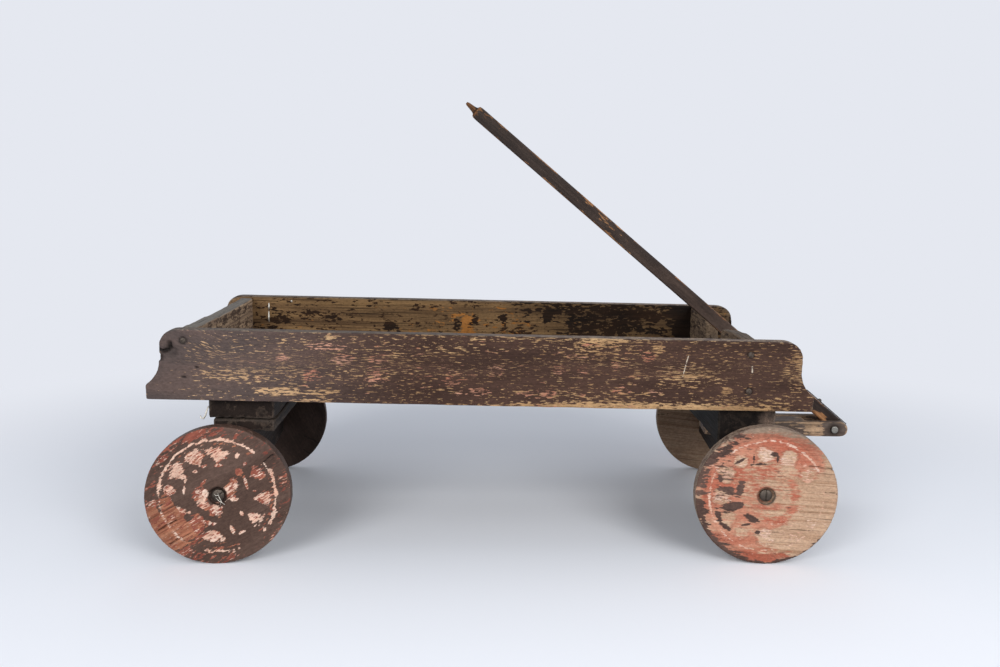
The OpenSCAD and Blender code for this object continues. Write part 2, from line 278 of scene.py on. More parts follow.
def oval(x, y, x0, x1, y0, y1):
    """0 at the middle of an oval patch, 1 on its rim, more outside it."""
    return np.hypot((x - (x0 + x1) / 2) / ((x1 - x0) / 2), (y - (y0 + y1) / 2) / ((y1 - y0) / 2))


def patch(x, y, x0, x1, y0, y1):
    """1 inside an oval patch, fading to 0 a little outside it."""
    return 1 - rise(oval(x, y, x0, x1, y0, y1), 0.55, 1.35)


# ---------------------------------------------------------------- pieces from CAD nodes

def grain_frame(source):
    """The grain frame of a sawn piece: its low corner, and axes along, across and through it."""
    shape = bmesh.new()
    shape.from_mesh(source.data)
    bmesh.ops.remove_doubles(shape, verts=shape.verts, dist=1e-6)
    creases = [e for e in shape.edges if len(e.link_faces) == 2 and e.calc_face_angle() > 0.5]
    longest = max(creases, key=lambda e: e.calc_length())
    along = (longest.verts[1].co - longest.verts[0].co).normalized()
    sides = {}
    for face in shape.faces:
        if abs(face.normal.dot(along)) < 0.1:
            key = tuple(round(abs(c), 2) for c in face.normal)
            area, normal = sides.get(key, (0.0, face.normal.copy()))
            sides[key] = (area + face.calc_area(), normal)
    shape.free()
    through = max(sides.values(), key=lambda side: side[0])[1]
    through = (through - along * through.dot(along)).normalized()
    axes = np.array([along, through.cross(along), through])
    axes *= np.sign(axes[np.arange(3), np.abs(axes).argmax(axis=1)])[:, None]
    local = vertices(source.data) @ axes.T
    return local.min(axis=0) @ axes, axes


# How far apart the materials' noise lies on pieces of neighbouring seeds, in metres
SEED_SHIFT = 0.731


def set_attribute(mesh, name, values):
    """Puts a number or a vector on each vertex."""
    is_vector = values.ndim == 2
    layer = mesh.attributes.new(name, "FLOAT_VECTOR" if is_vector else "FLOAT", "POINT")
    layer.data.foreach_set("vector" if is_vector else "value", values.astype(np.float32).ravel())


def whole_numbers(items, name, width=1):
    """That whole-number property of every item, width of them an item, in one row."""
    values = np.empty(len(items) * width, np.int64)
    items.foreach_get(name, values)
    return values


def vectors(items, name):
    """That vector property of every item, a row an item."""
    values = np.empty(len(items) * 3, np.float32)
    items.foreach_get(name, values)
    return values.reshape(-1, 3)


def vertices(mesh):
    return vectors(mesh.vertices, "co").astype(float)


class Solid:
    """A closed shape as an even fine mesh in its grain frame, to be worn, carved and finished.

    cell is the mesh's cell across the grain and stretch how much longer cells are along it. fields holds the
    numbers of each vertex for the materials, and slant moves where they see it in the grain.
    """

    def __init__(self, source, cell, stretch=1.0, grain=None, rounding=5):
        self.source, self.stretch = source, np.array([stretch, 1.0, 1.0])
        self.origin, self.axes = grain or grain_frame(source)
        local = (vertices(source.data) - self.origin) @ self.axes.T
        coarse = source.data.copy()
        coarse.vertices.foreach_set("co", (local / self.stretch).astype(np.float32).ravel())
        shape = bmesh.new()
        shape.from_mesh(coarse)
        bmesh.ops.remove_doubles(shape, verts=shape.verts, dist=1e-6)
        bmesh.ops.recalc_face_normals(shape, faces=shape.faces)
        shape.to_mesh(coarse)
        shape.free()
        holder = new_object("holder", coarse)
        remesh = holder.modifiers.new("fine", "REMESH")
        remesh.mode, remesh.voxel_size, remesh.adaptivity = "VOXEL", cell, 0.0
        evaluated = holder.evaluated_get(bpy.context.evaluated_depsgraph_get())
        self.mesh = bpy.data.meshes.new_from_object(evaluated)
        bpy.data.objects.remove(holder)
        bpy.data.meshes.remove(coarse)
        even = vertices(self.mesh)
        edges = whole_numbers(self.mesh.edges, "vertices", 2)
        self.edges = edges.reshape(-1, 2)
        self.neighbours = np.bincount(edges, minlength=len(even))
        self.inset = (self.spread(even, rounding) - even) * self.stretch
        self.at = even * self.stretch
        self.size = self.at.max(axis=0)
        convex = -(self.inset * self.normals()).sum(axis=1) / cell
        self.edge = np.clip(self.spread(np.clip(convex, 0, None), 4) * 3.0, 0, 1)
        self.hollow = np.clip(self.spread(np.clip(-convex, 0, None), 6) * 4.0, 0, 1)
        self.fields = {}
        self.slant = np.zeros(self.at.shape)

    def spread(self, values, rounds):
        """Values evened out over neighbouring vertices."""
        columns = values[:, None] if values.ndim == 1 else values
        a, b = self.edges.T
        for _ in range(rounds):
            sums = [np.bincount(a, c[b], len(c)) + np.bincount(b, c[a], len(c)) for c in columns.T]
            columns = 0.35 * columns + 0.65 * np.stack(sums, axis=1) / self.neighbours[:, None]
        return columns.reshape(values.shape)

    def normals(self):
        self.write()
        return vectors(self.mesh.vertex_normals, "vector").astype(float)

    def write(self, places=None):
        """Puts the vertices where self.at says, or at places."""
        places = self.at if places is None else places
        self.mesh.vertices.foreach_set("co", places.astype(np.float32).ravel())
        self.mesh.update()

    def shade(self, factor):
        """Multiplies the tone, which is how bright the wood and its paint are, painted light and shade included.
        """
        self.fields["tone"] *= factor

    def round_edges(self, amount, varied, length, seed):
        """Wears the convex edges back by amount times their rounding, more at the places noise picks."""
        share = amount + varied * np.clip(waves(self.at, length, seed) * 2.2, -0.6, 1.2)
        self.at += self.inset * np.clip(share, 0, 1.8)[:, None]

    def carve(self, depth):
        """Moves the surface inwards by depth, in metres."""
        self.at -= self.normals() * depth[:, None]

    def world(self):
        return self.at @ self.axes + self.origin

    def unwrap(self):
        """A map of six charts, one a side, in rows across the whole map."""
        margin = 0.004
        loops = whole_numbers(self.mesh.loops, "vertex_index")
        normal = vectors(self.mesh.polygons, "normal")
        side = np.abs(normal).argmax(axis=1)
        chart = side * 2 + (normal[np.arange(len(side)), side] > 0)
        chart = np.repeat(chart, whole_numbers(self.mesh.polygons, "loop_total"))
        share = (self.at - self.at.min(axis=0)) / np.ptp(self.at, axis=0)
        heights = np.array([self.size[2], self.size[2], self.size[1]])
        rows = np.repeat(heights, 2) / (2 * heights.sum())
        # The ends' charts run across and through, the edges' along and through, the faces' along and across.
        across, upward = np.array([1, 0, 0])[chart // 2], np.array([2, 2, 1])[chart // 2]
        start = np.concatenate([[0.0], np.cumsum(rows)[:-1]])[chart]
        uv = np.stack([margin + (1 - 2 * margin) * share[loops, across],
                       start + rows[chart] * (margin + (1 - 2 * margin) * share[loops, upward])], axis=1)
        layer = self.mesh.uv_layers.new(name="OFBake")
        layer.uv.foreach_set("vector", uv.astype(np.float32).ravel())

    def finish(self, name, slot, materials, choose=None, seed=0):
        """Makes the piece. materials are shown where choose, a number for each vertex, picks them."""
        self.write()
        self.unwrap()
        set_attribute(self.mesh, "grain", self.at + self.slant + seed * SEED_SHIFT)
        for field, values in self.fields.items():
            set_attribute(self.mesh, field, values)
        self.mesh.materials.clear()
        for material in materials:
            self.mesh.materials.append(material)
        if choose is not None:
            corners = whole_numbers(self.mesh.loops, "vertex_index")
            firsts = whole_numbers(self.mesh.polygons, "loop_start")
            self.mesh.polygons.foreach_set("material_index", choose[corners[firsts]].astype(np.int32))
        self.write(self.world())
        if np.linalg.det(self.axes) < 0:
            self.mesh.flip_normals()
        self.mesh.shade_smooth()
        self.mesh.name = name
        piece = new_object(name, self.mesh)
        node = self.source.name
        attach(piece, BODY_OF[node])
        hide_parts(node)


# ---------------------------------------------------------------- wood and paint

# A layer over the wood. Its field is 0 where half of it has gone, and about 0.25 where it is whole. thin and
# thick are its colours where it is worn and where it isn't, and flakes is how many large flakes a metre there
# are along, across and through the grain. fine is the share of small flakes, contrast how much the flakes'
# noise counts beside the field, and soft how blurred their rims are.
Coat = namedtuple("Coat", "field thin thick flakes seed height rough fine contrast soft",
                  defaults=(0.12, 0.55, 0.5, 1.7, 0.03))

# How much finer than the large flakes the small ones are, and the share of streaks in a coat's colour
FINE_FLAKES, PIGMENT_STREAKS = 3.1, 0.25
WOOD_BRIGHTNESS, WOOD_GLOSS, MOTTLING = 0.66, 0.12, 0.26
BLEACHED = (150, 143, 134)
# A bluish grey laid over the paint where its field is above 0: a painted sheen, the sky's reflection
PAINTED_SHEEN = srgb(128, 138, 142)
SCRATCHED = srgb(206, 190, 170)


def multiplied(numbers, factor):
    return [factor * number for number in numbers]


def painted_wood(name, light, middle, dark, coats, checks=0.68, rings=95, scratches=()):
    """Open-grained wood under the coats that are left on it.

    checks is how rare fine cracks are, from 0 to 1, and rings how many bands of grain a metre has.
    """
    rough = 0.78
    s = Shader(name)
    at = s.place()
    fibre = s.noise(at, (9, 520, 520), 4, 0.6)
    bands = s.noise(at, (2.1, rings, rings), 3, 0.5, 0.3)
    stains = s.noise(at, (11, 26, 26), 3, 0.55)
    shade = s.plus(s.times(fibre, 0.45), s.times(bands, 0.55))
    colour = s.ramp(shade, [(0.36, srgb(*dark)), (0.49, srgb(*middle)), (0.62, srgb(*light))])
    colour = s.mix(s.between(stains, 0.4, 0.66, 0.0, 0.45), colour, srgb(*dark))
    grey = s.mix(fibre, srgb(*multiplied(BLEACHED, 0.72)), srgb(*BLEACHED))
    colour = s.mix(s.field("grey"), colour, grey)
    checking = s.step(s.noise(at, (8, 430, 430), 3, 0.5), checks, checks + 0.05)
    colour = s.mix(s.times(checking, 0.75), colour, srgb(*multiplied(dark, 0.42)))
    height = s.math("MULTIPLY_ADD", fibre, 0.38, s.times(bands, 0.35))
    height = s.minus(height, s.times(checking, 0.4))
    roughness = s.between(fibre, 0.3, 0.7, rough + 0.08, rough - 0.1)
    for coat in coats:
        shift = multiplied((0.37, 1.9, 0.61), coat.seed)
        moved = s.add("VectorMath", {0: at, 1: shift}, operation="ADD").outputs[0]
        large = s.noise(moved, coat.flakes, 4, 0.6)
        small = s.noise(moved, multiplied(coat.flakes, FINE_FLAKES), 3, 0.65)
        large_flakes = s.times(s.minus(large, 0.5), coat.contrast * (1 - coat.fine))
        flake = s.math("MULTIPLY_ADD", s.minus(small, 0.5), coat.contrast * coat.fine, large_flakes)
        there = s.step(s.plus(flake, s.field(coat.field)), -coat.soft, coat.soft)
        blotch = s.noise(moved, (7, 30, 30), 4, 0.6)
        streak = s.noise(moved, (14, 620, 620), 3, 0.6)
        grainy = s.plus(s.times(blotch, 1 - PIGMENT_STREAKS), s.times(streak, PIGMENT_STREAKS))
        pigment = s.mix(s.step(grainy, 0.38, 0.62), srgb(*coat.thin), srgb(*coat.thick))
        dusty = s.noise(moved, (900, 900, 900), 2, 0.5)
        paler = [min(255, c) for c in multiplied(coat.thick, 1.22)]
        pigment = s.mix(s.between(dusty, 0.35, 0.7, 0.0, 0.35), pigment, srgb(*paler))
        colour = s.mix(there, colour, pigment)
        rim = s.times(there, coat.height)
        height = s.plus(s.times(height, s.between(there, 0, 1, 1.0, 0.45)), rim)
        coat_roughness = s.between(streak, 0.3, 0.7, coat.rough - 0.08, coat.rough + 0.1)
        roughness = s.add("Mix", {0: there, 2: roughness, 3: coat_roughness}).outputs[0]
    board = s.add("Attribute", attribute_name="board").outputs["Vector"] if scratches else None
    for start, end, width in scratches:
        broken = s.step(s.noise(at, (300, 300, 300), 2), 0.36, 0.46)
        gone = s.times(s.scratch(board, start, end, width), broken)
        colour = s.mix(gone, colour, SCRATCHED)
    # Painted sheen: the colour turns towards a bluish grey where that field is above 0.
    colour = s.mix(s.field("dust"), colour, PAINTED_SHEEN)
    mottle = s.between(s.noise(at, (210, 380, 380), 3, 0.7), 0.3, 0.7, 1 - MOTTLING, 1 + MOTTLING)
    toned = s.times(s.times(s.field("tone"), mottle), WOOD_BRIGHTNESS)
    colour = s.add("VectorMath", {0: colour, "Scale": toned}, operation="SCALE").outputs[0]
    return s.surface(colour, roughness, height, Specular_IOR_Level=WOOD_GLOSS)


# Thin pale scratches on the right side board: start, end and width, in metres from its rear end and its
# lower edge
SCRATCHES = [((0.7372, 0.0765), (0.7345, 0.066), 0.0011), ((0.7340, 0.063), (0.7307, 0.0476), 0.0011),
             ((0.8253, 0.0625), (0.8258, 0.055), 0.0016)]

side_outside = painted_wood(
    "side_paint_flaked", (206, 169, 124), (182, 144, 102), (126, 94, 66),
    [Coat("under", (188, 144, 120), (166, 108, 84), (30, 130, 130), 3, 0.05, 0.6),
     Coat("paint", (79, 56, 46), (59, 40, 32), (30, 150, 150), 1, 0.16, 0.58, 0.84)], scratches=SCRATCHES)
side_inside = painted_wood(
    "side_inside_worn", (152, 119, 80), (124, 96, 66), (74, 54, 37),
    [Coat("under", (176, 118, 60), (148, 96, 44), (30, 80, 80), 3, 0.05, 0.65),
     Coat("paint", (60, 38, 21), (30, 18, 9), (32, 80, 80), 5, 0.12, 0.7, 0.55, 2.6)], checks=0.62)
box_boards = painted_wood(
    "box_boards_worn", (142, 118, 92), (112, 91, 70), (72, 54, 40),
    [Coat("paint", (68, 54, 44), (42, 32, 26), (30, 80, 80), 2, 0.1, 0.62)], checks=0.62)
# Dark wood and paint for the under-frame, darker than the wood itself: partly dirt, partly painted shade under the
# box.
under_boards = painted_wood(
    "under_boards_dirty", (92, 74, 62), (68, 54, 45), (42, 32, 27),
    [Coat("paint", (54, 42, 36), (34, 26, 22), (16, 50, 50), 4, 0.08, 0.7, 0.4)])
gear_wood = painted_wood(
    "gear_wood_worn", (222, 184, 148), (184, 150, 118), (112, 88, 68),
    [Coat("paint", (126, 112, 103), (94, 79, 70), (22, 90, 90), 6, 0.1, 0.6, 0.6)])
tongue_finish = painted_wood(
    "tongue_dark_worn", (166, 122, 82), (128, 88, 58), (84, 56, 38),
    [Coat("paint", (66, 53, 46), (40, 31, 27), (18, 90, 90), 7, 0.1, 0.5, 0.5)])

front_wheel_finish = painted_wood(
    "front_wheel_worn", (218, 184, 154), (204, 168, 139), (174, 137, 109),
    [Coat("under", (204, 150, 123), (176, 99, 77), (30, 120, 120), 8, 0.04, 0.62, 0.6, 1.5, 0.14),
     Coat("cream", (231, 204, 186), (210, 162, 138), (44, 150, 150), 9, 0.05, 0.6, 0.65, 2.2, 0.06),
     Coat("paint", (104, 81, 72), (82, 62, 55), (34, 110, 110), 10, 0.14, 0.6, 0.6, 1.7, 0.08)], rings=260)
rear_wheel_finish = painted_wood(
    "rear_wheel_worn", (206, 144, 112), (182, 116, 88), (124, 78, 60),
    [Coat("under", (168, 100, 80), (136, 72, 60), (30, 120, 120), 8, 0.05, 0.62, 0.6),
     Coat("cream", (242, 214, 195), (224, 174, 150), (40, 150, 150), 9, 0.05, 0.6, 0.65, 2.0, 0.04),
     Coat("paint", (105, 83, 73), (83, 63, 54), (34, 110, 110), 10, 0.14, 0.55, 0.6)], rings=130)


# ---------------------------------------------------------------- iron

def iron(name, bare, rust, rusted, shine):
    """Old iron: bare metal where it is rubbed, rust in blotches elsewhere."""
    s = Shader(name)
    at = s.place()
    blotch = s.noise(at, (260, 260, 260), 5, 0.65)
    fine = s.noise(at, (1900, 1900, 1900), 3, 0.6)
    rusting = s.step(s.plus(blotch, s.field("rust")), 0.72 - rusted, 0.84 - rusted)
    metal = s.mix(fine, srgb(*multiplied(bare, 0.8)), srgb(*bare))
    oxide = s.mix(s.step(fine, 0.35, 0.65), srgb(*rust), srgb(*multiplied(rust, 0.55)))
    colour = s.mix(rusting, metal, oxide)
    height = s.plus(s.times(fine, 0.12), s.times(blotch, 0.2))
    roughness = s.between(rusting, 0, 1, shine, 0.86)
    metallic = s.between(rusting, 0, 1, 0.85, 0.05)
    return s.surface(colour, roughness, height, Metallic=metallic)


# Name, bare metal, rust, how far the rust has spread, and the bare metal's roughness
dark_iron = iron("dark_iron_old", (86, 77, 69), (72, 54, 43), 0.16, 0.5)
rusty_iron = iron("rusty_iron_old", (84, 72, 62), (96, 64, 44), 0.24, 0.6)
worn_steel = iron("worn_steel_dull", (138, 135, 128), (92, 76, 62), 0.0, 0.4)
nail_steel = iron("nail_steel_pale", (226, 220, 208), (130, 110, 92), 0.0, 0.55)

IRON_CELL, HIDDEN_IRON_CELL = 0.0007, 0.0011
HIDDEN_IRON = ("king_bolt", "king_nut", "upper_wear_plate", "lower_wear_plate")
# How deep iron is pitted
PITS = 0.00008


def iron_piece(node, slot, material):
    """An iron piece with soft edges and a pitted surface, rustier in its hollows."""
    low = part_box(node)[0]
    cell = HIDDEN_IRON_CELL if node in HIDDEN_IRON else IRON_CELL
    solid = Solid(NODES[node], cell, grain=(np.array(low), np.eye(3)), rounding=3)
    solid.round_edges(0.7, 0.2, (0.006,) * 3, 5)
    solid.carve(PITS * (1 + waves(solid.at, (0.0025,) * 3, 9)))
    solid.fields["rust"] = 0.1 * waves(solid.at, (0.01,) * 3, 3) + 0.1 * solid.hollow
    solid.finish(node + "_worn", slot, [material], seed=len(node))


# ---------------------------------------------------------------- screws, nails and wire

# Nail holes in the right side board, from its rear end and its lower edge, in mm
NAIL_HOLES = [(52.4, 32.5), (70.2, 46.2)]
# Screws in the right side board: name, place from its rear end and lower edge in mm, radius in metres, the
# slot's angle in radians, and rust
SIDE_SCREWS = [("front_upper", 822.7, 78.9, 0.004, 1.2, 0.1), ("front_lower", 822.7, 28.2, 0.004, 1.35, 0.1),
               ("rear", 52.2, 82.6, 0.0038, 0.7, 0.02)]
UP = np.array((0.0, 0.0, 1.0))
# How steeply the tongue lies at rest
TONGUE_SLOPE = math.radians(40.1)
BOLT = np.array(JOINTS["tongue"]["pos_m"])
LEVEL = np.cross(JOINTS["tongue"]["axis"], UP)
ALONG_TONGUE = -math.cos(TONGUE_SLOPE) * LEVEL + math.sin(TONGUE_SLOPE) * UP
# From the tongue's middle to the right hound's outer face, where the bolt ends
HOUND_FACE = 0.03
BOLT_END = BOLT - HOUND_FACE * np.array(JOINTS["tongue"]["axis"])


def small_piece(name, body, material, shape, rust=0.0):
    """Makes a piece of a bmesh in the wagon's frame, with the vertex numbers that the iron materials read."""
    mesh = bpy.data.meshes.new(name)
    bmesh.ops.recalc_face_normals(shape, faces=shape.faces)
    shape.to_mesh(mesh)
    shape.free()
    set_attribute(mesh, "grain", vertices(mesh))
    set_attribute(mesh, "rust", np.full(len(mesh.vertices), rust))
    mesh.shade_smooth()
    mesh.materials.append(material)
    piece = new_object(name, mesh)
    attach(piece, body)


def pale_wire(name, points, radius):
    """A bent wire or nail of bare steel through points, thinner at its two ends."""
    sides, ends = 8, 0.6
    shape = bmesh.new()
    points = [Vector(point) for point in points]
    rings = []
    for k, point in enumerate(points):
        ahead = (points[min(k + 1, len(points) - 1)] - points[max(k - 1, 0)]).normalized()
        aside = ahead.orthogonal().normalized() if k == 0 else (aside - ahead * aside.dot(ahead)).normalized()
        other = ahead.cross(aside)
        wide = radius * (ends if k in (0, len(points) - 1) else 1.0)
        turns = [2 * math.pi * side / sides for side in range(sides)]
        ring = [point + wide * (math.cos(t) * aside + math.sin(t) * other) for t in turns]
        rings.append([shape.verts.new(place) for place in ring])
    for low, high in zip(rings, rings[1:]):
        for side in range(sides):
            after = (side + 1) % sides
            shape.faces.new([low[side], low[after], high[after], high[side]])
    shape.faces.new(rings[0])
    shape.faces.new(rings[-1])
    small_piece(name, "box", nail_steel, shape)


def screw_head(name, body, centre, outward, radius, slot_angle, rust, proud=0.0012):
    """A slotted screw head: a shallow dome, proud metres high, its slot at slot_angle from the level."""
    rounds, turns, sunk, flatness = 12, 56, 0.001, 2.6
    slot_width, slot_depth = 0.17 * radius, 0.0011
    outward = Vector(outward).normalized()
    level = Vector((0, 0, 1)).cross(outward).normalized()
    upward = outward.cross(level)
    shape = bmesh.new()
    rings = []
    for k in range(rounds + 1):
        share = k / rounds
        ring = []
        for n in range(turns):
            t = 2 * math.pi * n / turns
            x, y = share * radius * math.cos(t), share * radius * math.sin(t)
            beside = abs(math.sin(slot_angle) * x - math.cos(slot_angle) * y)
            lift = proud * (1 - share**flatness) - slot_depth * (beside < slot_width)
            ring.append(shape.verts.new(Vector(centre) + x * level + y * upward + lift * outward))
        rings.append(ring)
    skirt = [shape.verts.new(v.co - sunk * outward) for v in rings[-1]]
    rings.append(skirt)
    for low, high in zip(rings, rings[1:]):
        for n in range(turns):
            after = (n + 1) % turns
            shape.faces.new([low[n], low[after], high[after], high[n]])
    shape.faces.new(skirt)
    bmesh.ops.remove_doubles(shape, verts=shape.verts, dist=1e-6)
    small_piece(name, body, dark_iron, shape, rust)


def on_board(solid, u, v, out):
    """The place u mm from a side board's rear end, v from its lower edge and out off its right-hand face."""
    face = solid.at[:, 2].min()
    return np.array([u / 1000, v / 1000, face - out / 1000]) @ solid.axes + solid.origin


def side_board_screws(solid):
    """The screws in the right side board's outer face, a little off it."""
    off_face, outward = 0.1, (0, -1, 0)
    for name, u, v, radius, angle, rust in SIDE_SCREWS:
        place = on_board(solid, u, v, off_face)
        screw_head("side_screw_" + name, "box", place, outward, radius, angle, rust)


def bent_nails(solid):
    """The nails bent flat on the left side board's inner face."""
    nail_radius = 0.0016
    for name, places in [("long", [(91.7, 86.5, 0.9), (91.9, 80, 1.2), (91.6, 74, 0.8)]),
                         ("short", [(91.5, 72, 0.9), (91.2, 60, 1.3), (91.4, 53, 0.6)]),
                         ("upper", [(129, 91.5, 0.8), (130, 90.5, 1.2), (131.2, 88.6, 0.6)])]:
        pale_wire("bent_nail_" + name, [on_board(solid, *place) for place in places], nail_radius)


def axle_screw(node, wheel_body, slot_turn):
    """An axle screw with its head domed, and its slot turned by that many degrees from the level."""
    cell = 0.0006
    solid = Solid(NODES[node], cell, grain=wheel_frame(wheel_body, slot_turn), rounding=2)
    solid.round_edges(0.6, 0.2, (0.006,) * 3, 5)
    x, y = solid.at[:, 0], solid.at[:, 1]
    head_radius, head_depth, dome, flatness, shrink, blur = 0.0095, 0.004, 0.002, 2.4, 0.1, 0.0005
    neck = solid.size[2] - head_depth
    head = rise(solid.at[:, 2], neck - blur, neck + blur)
    solid.at[:, 2] -= head * dome * np.clip(np.hypot(x, y) / head_radius, 0, 1)**flatness
    solid.at[:, :2] *= (1 - shrink * head)[:, None]
    # The CAD slot is level and the grain frame already turned, so this turns the slot alone.
    solid.at[:, :2] = np.stack(turned(x, y, -slot_turn), axis=1)
    solid.fields["rust"] = 0.02 + 0.1 * waves(solid.at, (0.01,) * 3, 3) + 0.16 * solid.hollow
    solid.finish(node + "_worn", "dark_iron", [dark_iron], seed=len(node))


def loose_hardware():
    """A hook behind the rear bolster, wires in the near rear hub, and a nail's knob on the tongue strap."""
    hook_radius, hub_wire_radius, knob_radius, knob_height = 0.0012, 0.0005, 0.0034, 0.0026
    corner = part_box("rear_bolster")[0]
    hook = [(0.001, -0.001, 0.019), (-0.002, -0.002, 0.012), (-0.0035, -0.003, 0.006),
            (-0.0065, -0.003, 0.0015), (-0.0095, -0.003, 0.0025), (-0.0105, -0.003, 0.006)]
    pale_wire("wire_hook", [corner + Vector(place) for place in hook], hook_radius)
    centre, axes = wheel_frame("rear_right_wheel", 0)
    off_face, sunk = 0.0008, 0.002
    face = centre[1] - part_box("wheel_rear_right")[0].y + off_face
    for name, places in [
            ("long", [(0.001, 0.005), (0.0035, -0.001), (0.006, -0.006), (0.0045, -0.0105)]),
            ("short", [(-0.002, -0.001), (0.003, -0.0055), (0.0065, -0.0075), (0.0105, -0.0105)]),
            ("end", [(-0.004, 0.004), (-0.001, 0.002), (0.002, 0.003)])]:
        depths = [face - sunk] + [face] * (len(places) - 1)
        points = [centre + axes.T @ np.array([x, y, depth]) for (x, y), depth in zip(places, depths)]
        pale_wire("hub_wire_" + name, points, hub_wire_radius)
    strap = vertices(NODES["tongue_strap"].data) - BOLT
    outward = np.cross(ALONG_TONGUE, JOINTS["tongue"]["axis"])
    outward *= np.sign(outward[2])
    reach, reading = 0.038, 0.03
    near = np.abs(strap @ ALONG_TONGUE - reach) < reading
    knob = BOLT + ALONG_TONGUE * reach + outward * (strap[near] @ outward).max()
    screw_head("strap_nail", "tongue", knob, outward, knob_radius, 0.4, 0.1, knob_height)


# ---------------------------------------------------------------- boards

def sawn_piece(node, cell, stretch, seed, wear, chips):
    """A board or block with worn edges and raised grain, before its paint."""
    relief, unevenness = 0.00022, 0.00025
    solid = Solid(NODES[node], cell, stretch)
    solid.round_edges(wear, chips, (0.03, 0.006, 0.006), seed)
    grooves = 1 - np.abs(waves(solid.at, (0.16, 0.0042, 0.0042), seed + 1, 3))
    swell = 1 + waves(solid.at, (0.2, 0.03, 0.03), seed + 2, 2)
    solid.carve(relief * grooves**3 + unevenness * swell)
    # The tone varies at random, and is darker in the hollows: painted shade.
    solid.fields["tone"] = 1 + 0.1 * waves(solid.at, (0.12, 0.04, 0.04), seed + 3) - 0.35 * solid.hollow
    solid.fields["grey"] = np.zeros(len(solid.at))
    return solid


def plain_piece(node, slot, material, cell, stretch, seed, paint, grey, tone=1.0, spots=(), chips=0.7):
    """A piece whose paint or dirt is gone only along its edges and where noise takes it.

    spots are places in the wagon's frame, each with its radius, how much paint it adds and how much lighter
    it is.
    """
    solid = sawn_piece(node, cell, stretch, seed, 0.85, chips)
    drift = waves(solid.at, (0.1, 0.03, 0.03), seed + 4)
    solid.fields["paint"] = paint + 0.1 * drift - 0.3 * solid.edge
    solid.fields["grey"] = np.clip(grey * (0.6 + solid.edge), 0, 1)
    solid.shade(tone)
    for centre, radius, more_paint, lighter in spots:
        near = rise(-np.linalg.norm(solid.world() - np.array(centre), axis=1) / radius, -1.3, -0.6)
        solid.fields["paint"] += more_paint * near
        solid.shade(1 + lighter * near)
    solid.finish(node + "_worn", slot, [material], seed=seed)


# Worn places of the right side board, in millimetres from its rear end and its lower edge:
# start, end, bottom, top, and how much paint has gone.
BARE_PLACES = [
    (50, 240, 26, 50, 0.13), (70, 160, 30, 44, 0.06), (146, 212, 8, 22, 0.30), (216, 258, 9, 21, 0.22),
    (200, 262, -6, 6, 0.26), (455, 900, -14, 9, 0.42), (240, 262, 87, 97, 0.24), (560, 680, 62, 98, 0.13),
    (590, 650, 84, 100, 0.12), (686, 706, 76, 94, 0.26), (686, 790, 26, 62, 0.12), (700, 760, 40, 50, 0.12),
    (784, 800, 22, 34, 0.26), (662, 674, 42, 54, 0.2), (866, 902, 24, 88, 0.13), (880, 900, 60, 84, 0.12),
    (730, 900, 0, 20, 0.11), (520, 700, 4, 30, 0.09), (260, 430, 8, 64, 0.05), (700, 860, 66, 96, 0.06),
    (150, 470, 60, 92, 0.03), (320, 700, 90, 102, 0.12), (60, 120, 62, 84, 0.07), (100, 200, 50, 70, 0.03)]
# The same for places where undercoat shows: start, end, bottom, top, how much undercoat.
PINK_PLACES = [
    (218, 268, 72, 84, 0.32), (172, 196, 56, 68, 0.26), (250, 284, 52, 70, 0.24), (212, 238, 30, 48, 0.2),
    (296, 322, 26, 52, 0.22), (322, 338, 68, 80, 0.2), (300, 330, 56, 68, 0.2), (418, 474, 14, 25, 0.28),
    (498, 530, 14, 23, 0.3), (534, 562, 12, 25, 0.26), (466, 486, 40, 60, 0.22), (552, 572, 46, 60, 0.24),
    (586, 602, 42, 60, 0.22), (672, 694, 66, 80, 0.34), (682, 706, 17, 32, 0.28), (630, 646, 54, 66, 0.2),
    (400, 430, 22, 50, 0.16), (196, 222, 16, 28, 0.12), (636, 662, 20, 34, 0.14)]


# The same for dark paint on the inner faces.
INSIDE_PLACES = [
    (225, 330, 8, 30, 0.42), (285, 312, 40, 62, 0.3), (96, 130, 50, 66, 0.2), (120, 240, 58, 76, 0.16),
    (150, 175, 66, 80, 0.2), (406, 421, 42, 66, 0.4), (438, 452, 58, 74, 0.3), (330, 400, 76, 90, 0.2),
    (486, 500, 40, 80, 0.2), (535, 613, 30, 84, -0.26), (560, 577, 62, 84, 0.5), (690, 755, 12, 46, -0.3),
    (749, 795, 10, 80, -0.18), (50, 110, 30, 70, 0.12), (830, 900, 66, 98, -0.45), (840, 890, 30, 60, -0.3)]

# How far the left side board's worn places are moved along it, in millimetres
LEFT_WEAR_SHIFT = 37
# Keeps the right side board's scratches off the left one
LEFT_BOARD_SHIFT = 5.0


def patches(x, y, places):
    """The sum of patches, each given by its start, end, bottom, top and strength."""
    return sum(strength * patch(x, y, *sides) for *sides, strength in places)


